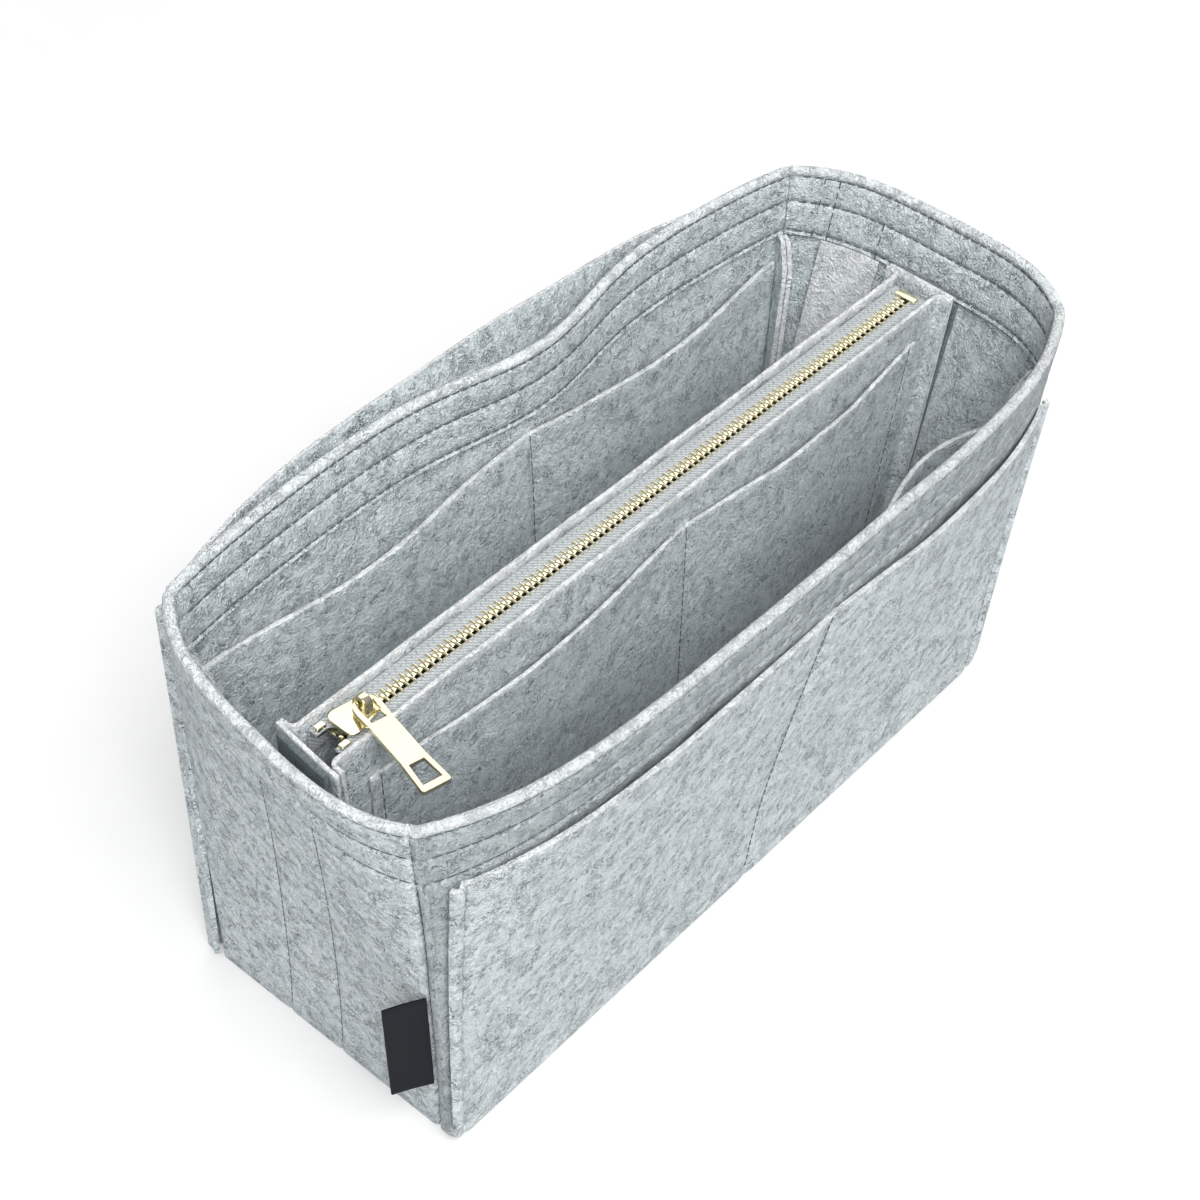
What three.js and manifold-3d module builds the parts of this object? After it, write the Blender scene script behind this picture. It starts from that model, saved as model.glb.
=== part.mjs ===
// Purse organizer insert: an open felt tub with pockets inside and out, and a lift-out zip pouch
// that hook-and-loop strips hold between the two end walls.
// Millimetres. X runs along the length with the closed slider at -X, the front wall faces -Y,
// +Z is up, and the origin is the centre of the underside of the base.
import * as THREE from 'three';
import { mergeVertices } from 'three/addons/utils/BufferGeometryUtils.js';
import Module from 'manifold-3d';

// Driving dimensions of the tub
const FELT = 1.6;
const GAP = 0.3;
const BASE_LENGTH = 265;
const BASE_WIDTH = 99;
const BASE_CORNER = 3;
const HEIGHT = 154;
const HEM_DEPTH = 25;
const SEAM_ALLOWANCE = 8;
const ALLOWANCE_SETBACK = 0.12;
// How far each rim corner leans out past its base corner, along X and along Y
const FRONT_LEFT_FLARE = [18, -1];
const FRONT_RIGHT_FLARE = [6.5, 0.5];
const BACK_RIGHT_FLARE = [4.5, 8.5];
const BACK_LEFT_FLARE = [3.5, 8.5];
// How far the rim of each wall bows out past the line between its corners, and how squarely
const FRONT_BOW = 17;
const FRONT_BOW_POWER = 5;
const BACK_BOW = 8;
const BACK_BOW_POWER = 4;
const LEFT_BOW = 13.5;
const RIGHT_BOW = 16;
const END_BOW_POWER = 3.5;
const BOW_RISE = 1.6;
// The soft dent in the rim of the back wall
const DENT_DEPTH = 10;
const DENT_X = 12;
const DENT_REACH = 36;
// How closely the stations of a wall crowd towards its corners, and the step that finds its direction
const STATION_CROWDING = 0.45;
const DIRECTION_STEP = 0.002;

// Pockets sewn to the long walls
const POCKET_SEAM_X = 6;
const OUTER_POCKET_INSET = 4;
const OUTER_POCKET_FOOT = 1;
const FRONT_OUTER_DROP = 32;
const FRONT_OUTER_GAPE = 2.5;
// How far the front outer pocket's edges stand from the corner seams, at its foot and at its top
const FRONT_OUTER_LEFT = [1, 2];
const FRONT_OUTER_RIGHT = [1, 4];
const BACK_OUTER_DROP = 10;
const BACK_OUTER_GAPE = 13;
const BACK_OUTER_POWER = 3;
const INNER_POCKET_FOOT = 4;
const INNER_POCKET_DROP = 35;
const FRONT_INNER_LEFT_GAPE = 12;
const FRONT_INNER_RIGHT_GAPE = 17;
const FRONT_INNER_SKEW = 1.5;
const BACK_INNER_GAPE = 10;
// How a pocket's gape grows from its stitched sides and from its foot
const GAPE_POWER = 1.3;
const GAPE_RISE = 2;

// Lift-out pouch
const POUCH_FELT = 1.4;
const POUCH_Y = 0.5;
const POUCH_WIDTH = 17;
const POUCH_DROP = 16;
const POUCH_FLOOR = 20;
const POUCH_FLANGE = 4;
const POUCH_LEAN = 4;
const POUCH_POCKET_DROP = 20;
const POUCH_POCKET_INSET = 10;
const POUCH_POCKET_GAPE = 5.5;

// Hook-and-loop strips, felt strap and label
const STRIP_WIDTH = 20;
const LOOP_THICK = 2.6;
const HOOK_THICK = 1.8;
const STRIP_FOOT = 24;
const STRAP_WIDTH = 21;
const STRAP_Y = 27.5;
const STRAP_FOOT = 30;
const LABEL_WIDTH = 13;
const LABEL_HEIGHT = 48;
const LABEL_THICK = 0.9;
const LABEL_FOOT = 30;
const LABEL_TURN = 147;
const LABEL_ROOT = 1.2;

// Zip
const ZIP_SINK = 3.4;
const TAPE_THICK = 0.8;
const TAPE_LEG = 9;
const TAPE_LEFT_SETBACK = 5.6;
const TAPE_RIGHT_SETBACK = 1.5;
const TAPE_SPREAD = 1.8;
const CHAIN_WIDTH = 5.2;
const TOOTH_PITCH = 2.54;
const TOOTH_THICK = 0.92;
const TOOTH_HEIGHT = 2.4;
const TOOTH_REACH = 0.8;
const TOOTH_CHAMFER = 0.25;
const SPINE_WIDTH = 0.9;
const STOP_LENGTH = 3.4;
const STOP_THICK = 0.9;
const TOP_STOP_SETBACK = 2;
const BOTTOM_STOP_SETBACK = 8;
const SLIDER_LENGTH = 12.5;
const SLIDER_PLATE = 1.1;
const SLIDER_FLANGE = 0.9;
const SLIDER_NOSE = 1.5;
const POST_LENGTH = 3;
const POST_WIDTH = 1.6;
const CROWN_WIDTH = 2.6;
const CROWN_THICK = 1.1;
const CROWN_HEIGHT = 2.1;
const CROWN_ROOM = 0.9;
const CROWN_SHIFT = 3;

// Pull tab
const TAB_THICK = 1.5;
const TAB_LENGTH = 35;
const TAB_LOOP_WIDTH = 8.2;
const TAB_LOOP_LENGTH = 10;
const TAB_BAR = 1.5;
const TAB_WAIST = 7.6;
const TAB_FOOT_WIDTH = 9;
const TAB_FOOT_LENGTH = 9.6;
const TAB_FOOT_CORNER = 0.9;
const TAB_FRAME = 1.4;
const TAB_YAW = 12;

// Facets
const LONG_STATIONS = 22;
const END_STATIONS = 14;
const POCKET_STATIONS = 18;
const WALL_LEVELS = 5;
const RIM_ARC_STEPS = 4;

const wasm = await Module();
wasm.setup();

// Heights and depths that follow from the sizes above
const POUCH_TOP = HEIGHT - POUCH_DROP;
const HEM_FOOT = HEIGHT - HEM_DEPTH;
const HEM_THICK = 2 * FELT + GAP;
const LOOP_FACE = FELT + GAP;
const HOOK_FACE = Math.max(LOOP_FACE + LOOP_THICK, HEM_THICK) + GAP;
const END_FACE = HOOK_FACE + HOOK_THICK + GAP;
const END_INSIDE = END_FACE + POUCH_FELT;
const PANEL_END = END_INSIDE + GAP;
const PANEL_Y = POUCH_WIDTH / 2;
const ZIP_Z = POUCH_TOP - ZIP_SINK;

// Materials, one for each stuff the insert is made of
function matte(colour, roughness) {
  return new THREE.MeshStandardMaterial({ color: colour, roughness, metalness: 0 });
}
const felt = matte(0xb9c1c9, 0.95);
const pouchFelt = matte(0xb4bcc4, 0.95);
const stripGrey = matte(0x55626b, 0.9);
const tapeGrey = matte(0xa9b0b5, 0.85);
const labelBlack = matte(0x17181b, 0.7);
const gold = new THREE.MeshStandardMaterial({ color: 0xd9c58f, roughness: 0.25, metalness: 1 });

const insert = new THREE.Group();

function addPiece(name, geometry, material) {
  const mesh = new THREE.Mesh(geometry, material);
  mesh.name = name;
  insert.add(mesh);
  return mesh;
}

// Plain helpers for numbers, curves and solids
function mix(a, b, t) {
  return a + (b - a) * t;
}

function levels(low, high, count) {
  return Array.from({ length: count + 1 }, (_, i) => mix(low, high, i / count));
}

// Stations that crowd gently towards both ends, where a wall turns most
function crowdedStations(count) {
  return levels(0, 1, count).map((t) => mix(t, (1 - Math.cos(Math.PI * t)) / 2, STATION_CROWDING));
}

function signedVolume(points, faces) {
  const cross = new THREE.Vector3();
  const corner = ([a, b, c]) => cross.crossVectors(points[b], points[c]).dot(points[a]);
  return faces.reduce((sum, face) => sum + corner(face), 0);
}

function solidFrom(points, faces) {
  const outward = signedVolume(points, faces) > 0;
  const index = faces.flatMap(([a, b, c]) => (outward ? [a, b, c] : [a, c, b]));
  const position = points.flatMap((p) => p.toArray());
  const geometry = new THREE.BufferGeometry();
  geometry.setAttribute('position', new THREE.Float32BufferAttribute(position, 3));
  geometry.setIndex(index);
  return geometry;
}

// A closed solid through rings of points; both ends are capped with the outline's triangles
function loft(rings, outline) {
  const size = outline.length;
  const faces = [];
  for (let r = 0; r + 1 < rings.length; r += 1) {
    for (let k = 0; k < size; k += 1) {
      const a = r * size + k;
      const b = r * size + ((k + 1) % size);
      faces.push([a, b, b + size], [a, b + size, a + size]);
    }
  }
  const last = (rings.length - 1) * size;
  for (const [a, b, c] of THREE.ShapeUtils.triangulateShape(outline, [])) {
    const clockwise = THREE.ShapeUtils.isClockWise(outline);
    const [p, q] = clockwise ? [b, c] : [c, b];
    faces.push([a, p, q], [last + a, last + q, last + p]);
  }
  return solidFrom(rings.flat(), faces);
}

// A profile of [depth, height] points carried through stations by place(station, depth, height)
function sweep(profile, stations, place) {
  const outline = profile.map(([d, z]) => new THREE.Vector2(d, z));
  return loft(stations.map((s) => profile.map(([d, z]) => place(s, d, z))), outline);
}

// The profile of a plain sheet between two heights, with depth 0 on one face and 1 on the other
function sheetProfile(low, high, count) {
  const heights = levels(low, high, count);
  return [...heights.map((z) => [0, z]), ...heights.reverse().map((z) => [1, z])];
}

function toSolid(geometry) {
  const plain = geometry.clone();
  plain.deleteAttribute('normal');
  plain.deleteAttribute('uv');
  const merged = mergeVertices(plain, 1e-4);
  const vertProperties = new Float32Array(merged.attributes.position.array);
  const triVerts = new Uint32Array(merged.index.array);
  return new wasm.Manifold(new wasm.Mesh({ numProp: 3, vertProperties, triVerts }));
}

function union(geometries) {
  const solid = geometries.map(toSolid).reduce((whole, piece) => whole.add(piece));
  const { vertProperties, triVerts } = solid.getMesh();
  const geometry = new THREE.BufferGeometry();
  geometry.setAttribute('position', new THREE.BufferAttribute(new Float32Array(vertProperties), 3));
  geometry.setIndex(new THREE.BufferAttribute(new Uint32Array(triVerts), 1));
  return geometry;
}

function shapeOf(points) {
  return new THREE.Shape(points.map(([x, y]) => new THREE.Vector2(x, y)));
}

function upright(shape, low, high) {
  const options = { depth: high - low, bevelEnabled: false, curveSegments: 5 };
  return new THREE.ExtrudeGeometry(shape, options).translate(0, 0, low);
}

// A section drawn in Y and Z, carried along X
function alongX(shape, from, to) {
  const options = { depth: to - from, bevelEnabled: false, curveSegments: 5 };
  const axes = new THREE.Matrix4().makeBasis(
    new THREE.Vector3(0, 1, 0),
    new THREE.Vector3(0, 0, 1),
    new THREE.Vector3(1, 0, 0),
  );
  return new THREE.ExtrudeGeometry(shape, options).applyMatrix4(axes).translate(from, 0, 0);
}

// The outer face of the tub: straight corner seams with a wall bowed between each pair
function corner(signX, signY, flare) {
  return (z) => {
    const rise = z / HEIGHT;
    return new THREE.Vector3(
      signX * (BASE_LENGTH / 2 + flare[0] * rise),
      signY * (BASE_WIDTH / 2 + flare[1] * rise),
      z,
    );
  };
}
const frontLeft = corner(-1, -1, FRONT_LEFT_FLARE);
const frontRight = corner(1, -1, FRONT_RIGHT_FLARE);
const backRight = corner(1, 1, BACK_RIGHT_FLARE);
const backLeft = corner(-1, 1, BACK_LEFT_FLARE);

function bowShape(s, power) {
  return 1 - Math.abs(2 * s - 1) ** power;
}

function frontBow(s) {
  return FRONT_BOW * bowShape(s, FRONT_BOW_POWER);
}

function rightBow(s) {
  return RIGHT_BOW * bowShape(s, END_BOW_POWER);
}

function leftBow(s) {
  return LEFT_BOW * bowShape(s, END_BOW_POWER);
}

function backBow(s) {
  return BACK_BOW * bowShape(s, BACK_BOW_POWER);
}

function dentedBackBow(s, x) {
  const dent = DENT_DEPTH * Math.exp(-(((x - DENT_X) / DENT_REACH) ** 2));
  return backBow(s) - dent * bowShape(s, BACK_BOW_POWER);
}

const walls = {
  front: { from: frontLeft, to: frontRight, out: [0, -1], bow: frontBow },
  right: { from: frontRight, to: backRight, out: [1, 0], bow: rightBow },
  back: { from: backRight, to: backLeft, out: [0, 1], bow: dentedBackBow },
  left: { from: backLeft, to: frontLeft, out: [-1, 0], bow: leftBow },
};

function wallPoint(wall, s, z) {
  const point = wall.from(z).lerp(wall.to(z), s);
  const bow = wall.bow(s, point.x) * (z / HEIGHT) ** BOW_RISE;
  return point.add(new THREE.Vector3(wall.out[0] * bow, wall.out[1] * bow, 0));
}

// Direction along a wall at a station, looking from its first corner to its second
function wallAlong(wall, s, z) {
  const a = wallPoint(wall, Math.max(0, s - DIRECTION_STEP), z);
  const b = wallPoint(wall, Math.min(1, s + DIRECTION_STEP), z);
  return b.sub(a).normalize();
}

function wallInward(wall, s, z) {
  const along = wallAlong(wall, s, z);
  return new THREE.Vector3(-along.y, along.x, 0);
}

// The seam at one end of a wall: where it is, which way it points in, and this wall's side of it
function seam(wall, atStart, z) {
  const names = Object.keys(walls);
  const here = names.findIndex((name) => walls[name] === wall);
  const other = walls[names[(here + (atStart ? names.length - 1 : 1)) % names.length]];
  const own = wallAlong(wall, atStart ? 0 : 1, z).multiplyScalar(atStart ? 1 : -1);
  const theirs = wallAlong(other, atStart ? 1 : 0, z).multiplyScalar(atStart ? -1 : 1);
  const inward = own.clone().add(theirs).normalize();
  const side = own.clone().addScaledVector(inward, -own.dot(inward)).normalize();
  const point = wallPoint(wall, atStart ? 0 : 1, z);
  return { point, own, inward, side, sine: own.dot(side), cosine: own.dot(inward) };
}

// A point of a wall at a depth below its outer face, mitred at both corner seams
function insideWall(wall, s, depth, z) {
  if (s > 0 && s < 1) {
    return wallPoint(wall, s, z).addScaledVector(wallInward(wall, s, z), depth);
  }
  const { point, own, inward, sine } = seam(wall, s === 0, z);
  return point.addScaledVector(inward, depth / sine).addScaledVector(own, GAP / 2 / sine);
}

// Wall section: one layer of felt, turned in at the rim to a doubled hem with a rounded fold
function wallProfile() {
  const fold = HEM_THICK / 2;
  const rim = HEIGHT - fold;
  const outside = levels(0, HEM_FOOT, WALL_LEVELS).map((z) => [0, z]);
  const onFold = (angle) => [fold + fold * Math.cos(angle), rim + fold * Math.sin(angle)];
  const arc = levels(Math.PI, 0, RIM_ARC_STEPS).map(onFold);
  const inside = levels(HEM_FOOT, 0, WALL_LEVELS).map((z) => [FELT, z]);
  return [...outside, ...arc, [HEM_THICK, HEM_FOOT], ...inside];
}

// The seam allowance turned in at one end of a wall, below the hem
function seamFlange(wall, atStart) {
  const heights = levels(FELT + 2 * GAP, HEM_FOOT - GAP, WALL_LEVELS);
  const rings = heights.map((z) => {
    const { point, inward, side, sine, cosine } = seam(wall, atStart, z);
    const near = GAP / 2 + ALLOWANCE_SETBACK;
    const far = near + FELT;
    const root = (FELT / 4 + far * cosine) / sine;
    const tip = FELT / sine + SEAM_ALLOWANCE;
    const corners = [[root, near], [tip, near], [tip, far], [root, far]];
    return corners.map(([r, w]) => point.clone().addScaledVector(inward, r).addScaledVector(side, w));
  });
  return loft(rings, rings[0].map((p) => new THREE.Vector2(p.x, p.y)));
}

function wallSolid(wall, count) {
  const sheet = sweep(wallProfile(), crowdedStations(count), (s, d, z) => insideWall(wall, s, d, z));
  return union([sheet, seamFlange(wall, true), seamFlange(wall, false)]);
}

function roundedRectangle(width, depth, radius) {
  const x = width / 2;
  const y = depth / 2;
  const shape = new THREE.Shape();
  shape.moveTo(-x + radius, -y);
  shape.lineTo(x - radius, -y);
  shape.absarc(x - radius, -y + radius, radius, -Math.PI / 2, 0);
  shape.lineTo(x, y - radius);
  shape.absarc(x - radius, y - radius, radius, 0, Math.PI / 2);
  shape.lineTo(-x + radius, y);
  shape.absarc(-x + radius, y - radius, radius, Math.PI / 2, Math.PI);
  shape.lineTo(-x, -y + radius);
  shape.absarc(-x + radius, -y + radius, radius, Math.PI, 1.5 * Math.PI);
  return shape;
}

function buildTub() {
  const inset = 2 * (FELT + GAP);
  const floor = roundedRectangle(BASE_LENGTH - inset, BASE_WIDTH - inset, BASE_CORNER);
  addPiece('base_panel', upright(floor, 0, FELT), felt);
  addPiece('front_wall', wallSolid(walls.front, LONG_STATIONS), felt);
  addPiece('back_wall', wallSolid(walls.back, LONG_STATIONS), felt);
  addPiece('left_end_wall', wallSolid(walls.left, END_STATIONS), felt);
  addPiece('right_end_wall', wallSolid(walls.right, END_STATIONS), felt);
}

// How far a two-part pocket stands off what it is sewn to: nothing at its stitched sides, foot and
// middle seam, and most at the open edge halfway between them
function pocketGape(t, seamAt, rise, most, skew = 1) {
  const within = t < seamAt ? t / seamAt : ((t - seamAt) / (1 - seamAt)) ** skew;
  return most * Math.sin(Math.PI * within) ** GAPE_POWER * rise ** GAPE_RISE;
}

// Stations of a two-part pocket, with one station on the middle seam
function pocketStations(seamAt) {
  const half = POCKET_STATIONS / 2;
  return [...levels(0, seamAt, half), ...levels(seamAt, 1, half).slice(1)];
}

// Where the middle seam falls along a pocket that starts and ends short of its wall's corners
function seamShare(wall, low, high) {
  const from = wall.from(0).x;
  const to = wall.to(0).x;
  return ((POCKET_SEAM_X - from) / (to - from) - low) / (high - low);
}

// How far along a wall the seam allowance in a corner reaches, at the depth of an inner pocket
function seamReach(wall, atStart, z) {
  const { sine, cosine } = seam(wall, atStart, z);
  const far = GAP / 2 + ALLOWANCE_SETBACK + FELT;
  const across = (2 * FELT + GAP + far * cosine) / sine;
  return (across * cosine + far * sine + GAP) / wall.from(z).distanceTo(wall.to(z));
}

// A pocket inside a long wall, caught at both ends beside the corner seams
function innerPocket(wall, gapes, skew) {
  const top = HEIGHT - INNER_POCKET_DROP;
  const foot = FELT + INNER_POCKET_FOOT;
  const seamAt = seamShare(wall, seamReach(wall, true, top), 1 - seamReach(wall, false, top));
  const place = (t, d, z) => {
    const s = mix(seamReach(wall, true, z), 1 - seamReach(wall, false, z), t);
    const most = gapes[t < seamAt ? 0 : 1];
    const away = pocketGape(t, seamAt, (z - foot) / (top - foot), most, skew);
    return insideWall(wall, s, FELT + GAP + away + d * FELT, z);
  };
  return sweep(sheetProfile(foot, top, WALL_LEVELS + 1), pocketStations(seamAt), place);
}

// The front outer pocket lies close to its wall and is stitched down the middle; its edges start at
// the base corners and lean in from the corner seams
function frontOuterPocket() {
  const wall = walls.front;
  const top = HEIGHT - FRONT_OUTER_DROP;
  const left = (rise) => mix(...FRONT_OUTER_LEFT, rise) / BASE_LENGTH;
  const right = (rise) => 1 - mix(...FRONT_OUTER_RIGHT, rise) / BASE_LENGTH;
  const seamAt = seamShare(wall, left(0.5), right(0.5));
  const place = (t, d, z) => {
    const rise = (z - OUTER_POCKET_FOOT) / (top - OUTER_POCKET_FOOT);
    const away = pocketGape(t, seamAt, rise, FRONT_OUTER_GAPE);
    return insideWall(wall, mix(left(rise), right(rise), t), -(GAP + away + d * FELT), z);
  };
  return sweep(sheetProfile(OUTER_POCKET_FOOT, top, WALL_LEVELS + 1), pocketStations(seamAt), place);
}

// The back outer pocket is one wide pocket that bellies out behind the dent in its wall
function backOuterPocket() {
  const wall = { ...walls.back, bow: backBow };
  const top = HEIGHT - BACK_OUTER_DROP;
  const low = OUTER_POCKET_INSET / BASE_LENGTH;
  const place = (t, d, z) => {
    const rise = (z - OUTER_POCKET_FOOT) / (top - OUTER_POCKET_FOOT);
    const away = BACK_OUTER_GAPE * bowShape(t, BACK_OUTER_POWER) * rise ** GAPE_RISE;
    return insideWall(wall, mix(low, 1 - low, t), -(GAP + away + d * FELT), z);
  };
  const profile = sheetProfile(OUTER_POCKET_FOOT, top, WALL_LEVELS + 1);
  return sweep(profile, levels(0, 1, POCKET_STATIONS), place);
}

function buildWallPockets() {
  addPiece('front_outer_pocket', frontOuterPocket(), felt);
  addPiece('back_outer_pocket', backOuterPocket(), felt);
  const frontGapes = [FRONT_INNER_LEFT_GAPE, FRONT_INNER_RIGHT_GAPE];
  const backGapes = [BACK_INNER_GAPE, BACK_INNER_GAPE];
  addPiece('front_inner_pocket', innerPocket(walls.front, frontGapes, FRONT_INNER_SKEW), felt);
  addPiece('back_inner_pocket', innerPocket(walls.back, backGapes, 1), felt);
}

// X of a face that lies a depth inside an end wall, at a given Y and height
function endX(wall, y, z, depth) {
  const from = wall.from(z).y;
  const to = wall.to(z).y;
  return wallPoint(wall, (y - from) / (to - from), z).x - wall.out[0] * depth;
}

// How far an end of the pouch leans in from its strip: nothing at its floor and most at its top
function pouchLean(z) {
  return POUCH_LEAN * ((z - POUCH_FLOOR) / (POUCH_TOP - POUCH_FLOOR)) ** 2;
}

// A sheet that lies against an end wall, from one depth to another
function endSheet(wall, centre, width, low, high, near, far, lean = () => 0) {
  const place = (y, d, z) => new THREE.Vector3(endX(wall, y, z, mix(near, far, d) + lean(z)), y, z);
  const stations = levels(centre - width / 2, centre + width / 2, 2);
  return sweep(sheetProfile(low, high, WALL_LEVELS), stations, place);
}

function buildEndStrips() {
  const top = HEM_FOOT - GAP;
  const loopBack = LOOP_FACE + LOOP_THICK;
  for (const side of ['left', 'right']) {
    const loop = endSheet(walls[side], POUCH_Y, STRIP_WIDTH, STRIP_FOOT, top, LOOP_FACE, loopBack);
    addPiece(`${side}_loop_strip`, loop, stripGrey);
  }
  const strapBack = LOOP_FACE + FELT;
  const strap = endSheet(walls.right, STRAP_Y, STRAP_WIDTH, STRAP_FOOT, top, LOOP_FACE, strapBack);
  addPiece('inner_strap', strap, felt);
}

// The woven label is a folded flag caught in the front left seam, along which it leans
function buildLabel() {
  const turn = THREE.MathUtils.degToRad(LABEL_TURN);
  const away = new THREE.Vector3(Math.cos(turn), Math.sin(turn), 0);
  const face = new THREE.Vector3(-away.y, away.x, 0);
  const place = (out, d, z) =>
    frontLeft(z).addScaledVector(away, out).addScaledVector(face, (d - 0.5) * LABEL_THICK);
  const profile = sheetProfile(LABEL_FOOT, LABEL_FOOT + LABEL_HEIGHT, 1);
  addPiece('label_tag', sweep(profile, [LABEL_ROOT, LABEL_ROOT + LABEL_WIDTH], place), labelBlack);
}

// A long pouch panel: a flat sheet whose two ends turn out to lie against the end panels
function pouchPanel(sign) {
  const face = POUCH_Y + sign * PANEL_Y;
  const back = POUCH_Y + sign * (PANEL_Y - POUCH_FELT);
  const tip = POUCH_Y + sign * (PANEL_Y + POUCH_FLANGE);
  const rings = levels(POUCH_FLOOR, POUCH_TOP, WALL_LEVELS).map((z) => {
    const lean = pouchLean(z);
    const left = (y, depth) => new THREE.Vector3(endX(walls.left, y, z, depth + lean), y, z);
    const right = (y, depth) => new THREE.Vector3(endX(walls.right, y, z, depth + lean), y, z);
    const leg = PANEL_END + POUCH_FELT;
    return [
      left(tip, PANEL_END),
      left(tip, leg),
      left(face, leg),
      right(face, leg),
      right(tip, leg),
      right(tip, PANEL_END),
      right(back, PANEL_END),
      left(back, PANEL_END),
    ];
  });
  return loft(rings, rings[0].map((p) => new THREE.Vector2(p.x, p.y)));
}

// The slip pocket on the front of the pouch
function pouchPocket() {
  const top = POUCH_TOP - POUCH_POCKET_DROP;
  const foot = POUCH_FLOOR + POUCH_FELT;
  const face = POUCH_Y - PANEL_Y;
  const inset = PANEL_END + POUCH_FELT + POUCH_POCKET_INSET;
  const end = (wall, z) => endX(wall, face, z, inset + pouchLean(z));
  const leftTop = end(walls.left, top);
  const rightTop = end(walls.right, top);
  const seamAt = (POCKET_SEAM_X - leftTop) / (rightTop - leftTop);
  const place = (t, d, z) => {
    const x = mix(end(walls.left, z), end(walls.right, z), t);
    const away = pocketGape(t, seamAt, (z - foot) / (top - foot), POUCH_POCKET_GAPE);
    return new THREE.Vector3(x, face - GAP - away - d * POUCH_FELT, z);
  };
  return sweep(sheetProfile(foot, top, WALL_LEVELS), pocketStations(seamAt), place);
}

function pouchBottom() {
  const half = PANEL_Y - POUCH_FELT - GAP;
  const rings = [POUCH_FLOOR, POUCH_FLOOR + POUCH_FELT].map((z) => {
    const at = (wall, y) => new THREE.Vector3(endX(wall, y, POUCH_FLOOR, PANEL_END), y, z);
    const low = POUCH_Y - half;
    const high = POUCH_Y + half;
    return [at(walls.left, low), at(walls.right, low), at(walls.right, high), at(walls.left, high)];
  });
  return loft(rings, rings[0].map((p) => new THREE.Vector2(p.x, p.y)));
}

function buildPouch() {
  addPiece('pouch_front_panel', pouchPanel(-1), pouchFelt);
  addPiece('pouch_back_panel', pouchPanel(1), pouchFelt);
  addPiece('pouch_bottom', pouchBottom(), pouchFelt);
  addPiece('pouch_front_pocket', pouchPocket(), pouchFelt);
  const endWidth = POUCH_WIDTH + 2 * POUCH_FLANGE;
  const hookTop = POUCH_TOP - POUCH_FELT / 2;
  const hookBack = HOOK_FACE + HOOK_THICK;
  for (const side of ['left', 'right']) {
    const leaning = (width, low, high, near, far) =>
      endSheet(walls[side], POUCH_Y, width, low, high, near, far, pouchLean);
    const panel = leaning(endWidth, POUCH_FLOOR, POUCH_TOP, END_FACE, END_INSIDE);
    const hook = leaning(STRIP_WIDTH, STRIP_FOOT, hookTop, HOOK_FACE, hookBack);
    addPiece(`pouch_${side}_end`, panel, pouchFelt);
    addPiece(`${side}_hook_strip`, hook, stripGrey);
  }
}

// Zip: two tapes sewn inside the panels, two rows of meshing teeth, and stops at both ends
const CHAIN_HALF = CHAIN_WIDTH / 2;
const TAPE_EDGE = CHAIN_HALF + GAP;
const TAPE_FOOT = ZIP_Z - TAPE_LEG;
const TAPE_END = END_INSIDE + pouchLean(TAPE_FOOT);
const TAPE_LEFT = endX(walls.left, POUCH_Y, TAPE_FOOT, TAPE_END) + TAPE_LEFT_SETBACK;
const TAPE_RIGHT = endX(walls.right, POUCH_Y, TAPE_FOOT, TAPE_END) - TAPE_RIGHT_SETBACK;
const STOP_X = TAPE_LEFT + TOP_STOP_SETBACK;
const SLIDER_X = STOP_X + STOP_LENGTH + 2 * GAP + SLIDER_LENGTH / 2;
const BOTTOM_STOP_X = TAPE_RIGHT - BOTTOM_STOP_SETBACK;
const CHANNEL_HALF = TOOTH_HEIGHT / 2 + GAP;

// Each tape's inner edge lies beside the teeth, and stands off further at the top stop, where the
// slider's nose parts the tapes
function zipTape(sign) {
  const wall = PANEL_Y - POUCH_FELT - GAP;
  const top = TAPE_THICK / 2;
  const section = [
    [TAPE_EDGE, -top],
    [wall - TAPE_THICK, -top],
    [wall - TAPE_THICK, -TAPE_LEG],
    [wall, -TAPE_LEG],
    [wall, top],
    [TAPE_EDGE, top],
  ];
  const spreadEnd = STOP_X + STOP_LENGTH;
  const chainStart = SLIDER_X - SLIDER_LENGTH / 2 + POST_LENGTH;
  const stations = [TAPE_LEFT, spreadEnd, chainStart, TAPE_RIGHT];
  const place = (x, y, z) => {
    const edge = y === TAPE_EDGE && x <= spreadEnd ? TAPE_EDGE + TAPE_SPREAD : y;
    return new THREE.Vector3(x, POUCH_Y + sign * edge, ZIP_Z + z);
  };
  return sweep(section, stations, place);
}

// One row of teeth on its spine, drawn in plan: each tooth reaches past the middle of the chain
function zipTeeth(sign) {
  const start = SLIDER_X - SLIDER_LENGTH / 2 + POST_LENGTH + TOOTH_PITCH;
  const count = Math.floor((BOTTOM_STOP_X - GAP - start) / TOOTH_PITCH);
  const spine = CHAIN_HALF - SPINE_WIDTH;
  const phase = sign > 0 ? TOOTH_PITCH / 2 : 0;
  const points = [];
  for (let i = 0; i < count; i += 1) {
    const x = start + phase + i * TOOTH_PITCH;
    points.push([x, spine]);
    points.push([x, -TOOTH_REACH + TOOTH_CHAMFER]);
    points.push([x + TOOTH_CHAMFER, -TOOTH_REACH]);
    points.push([x + TOOTH_THICK - TOOTH_CHAMFER, -TOOTH_REACH]);
    points.push([x + TOOTH_THICK, -TOOTH_REACH + TOOTH_CHAMFER]);
    points.push([x + TOOTH_THICK, spine]);
  }
  const end = points[points.length - 1][0];
  points.push([end, CHAIN_HALF], [start + phase, CHAIN_HALF]);
  const plan = shapeOf(points.map(([x, y]) => [x, POUCH_Y + sign * y]));
  return upright(plan, ZIP_Z - TOOTH_HEIGHT / 2, ZIP_Z + TOOTH_HEIGHT / 2);
}

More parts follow.
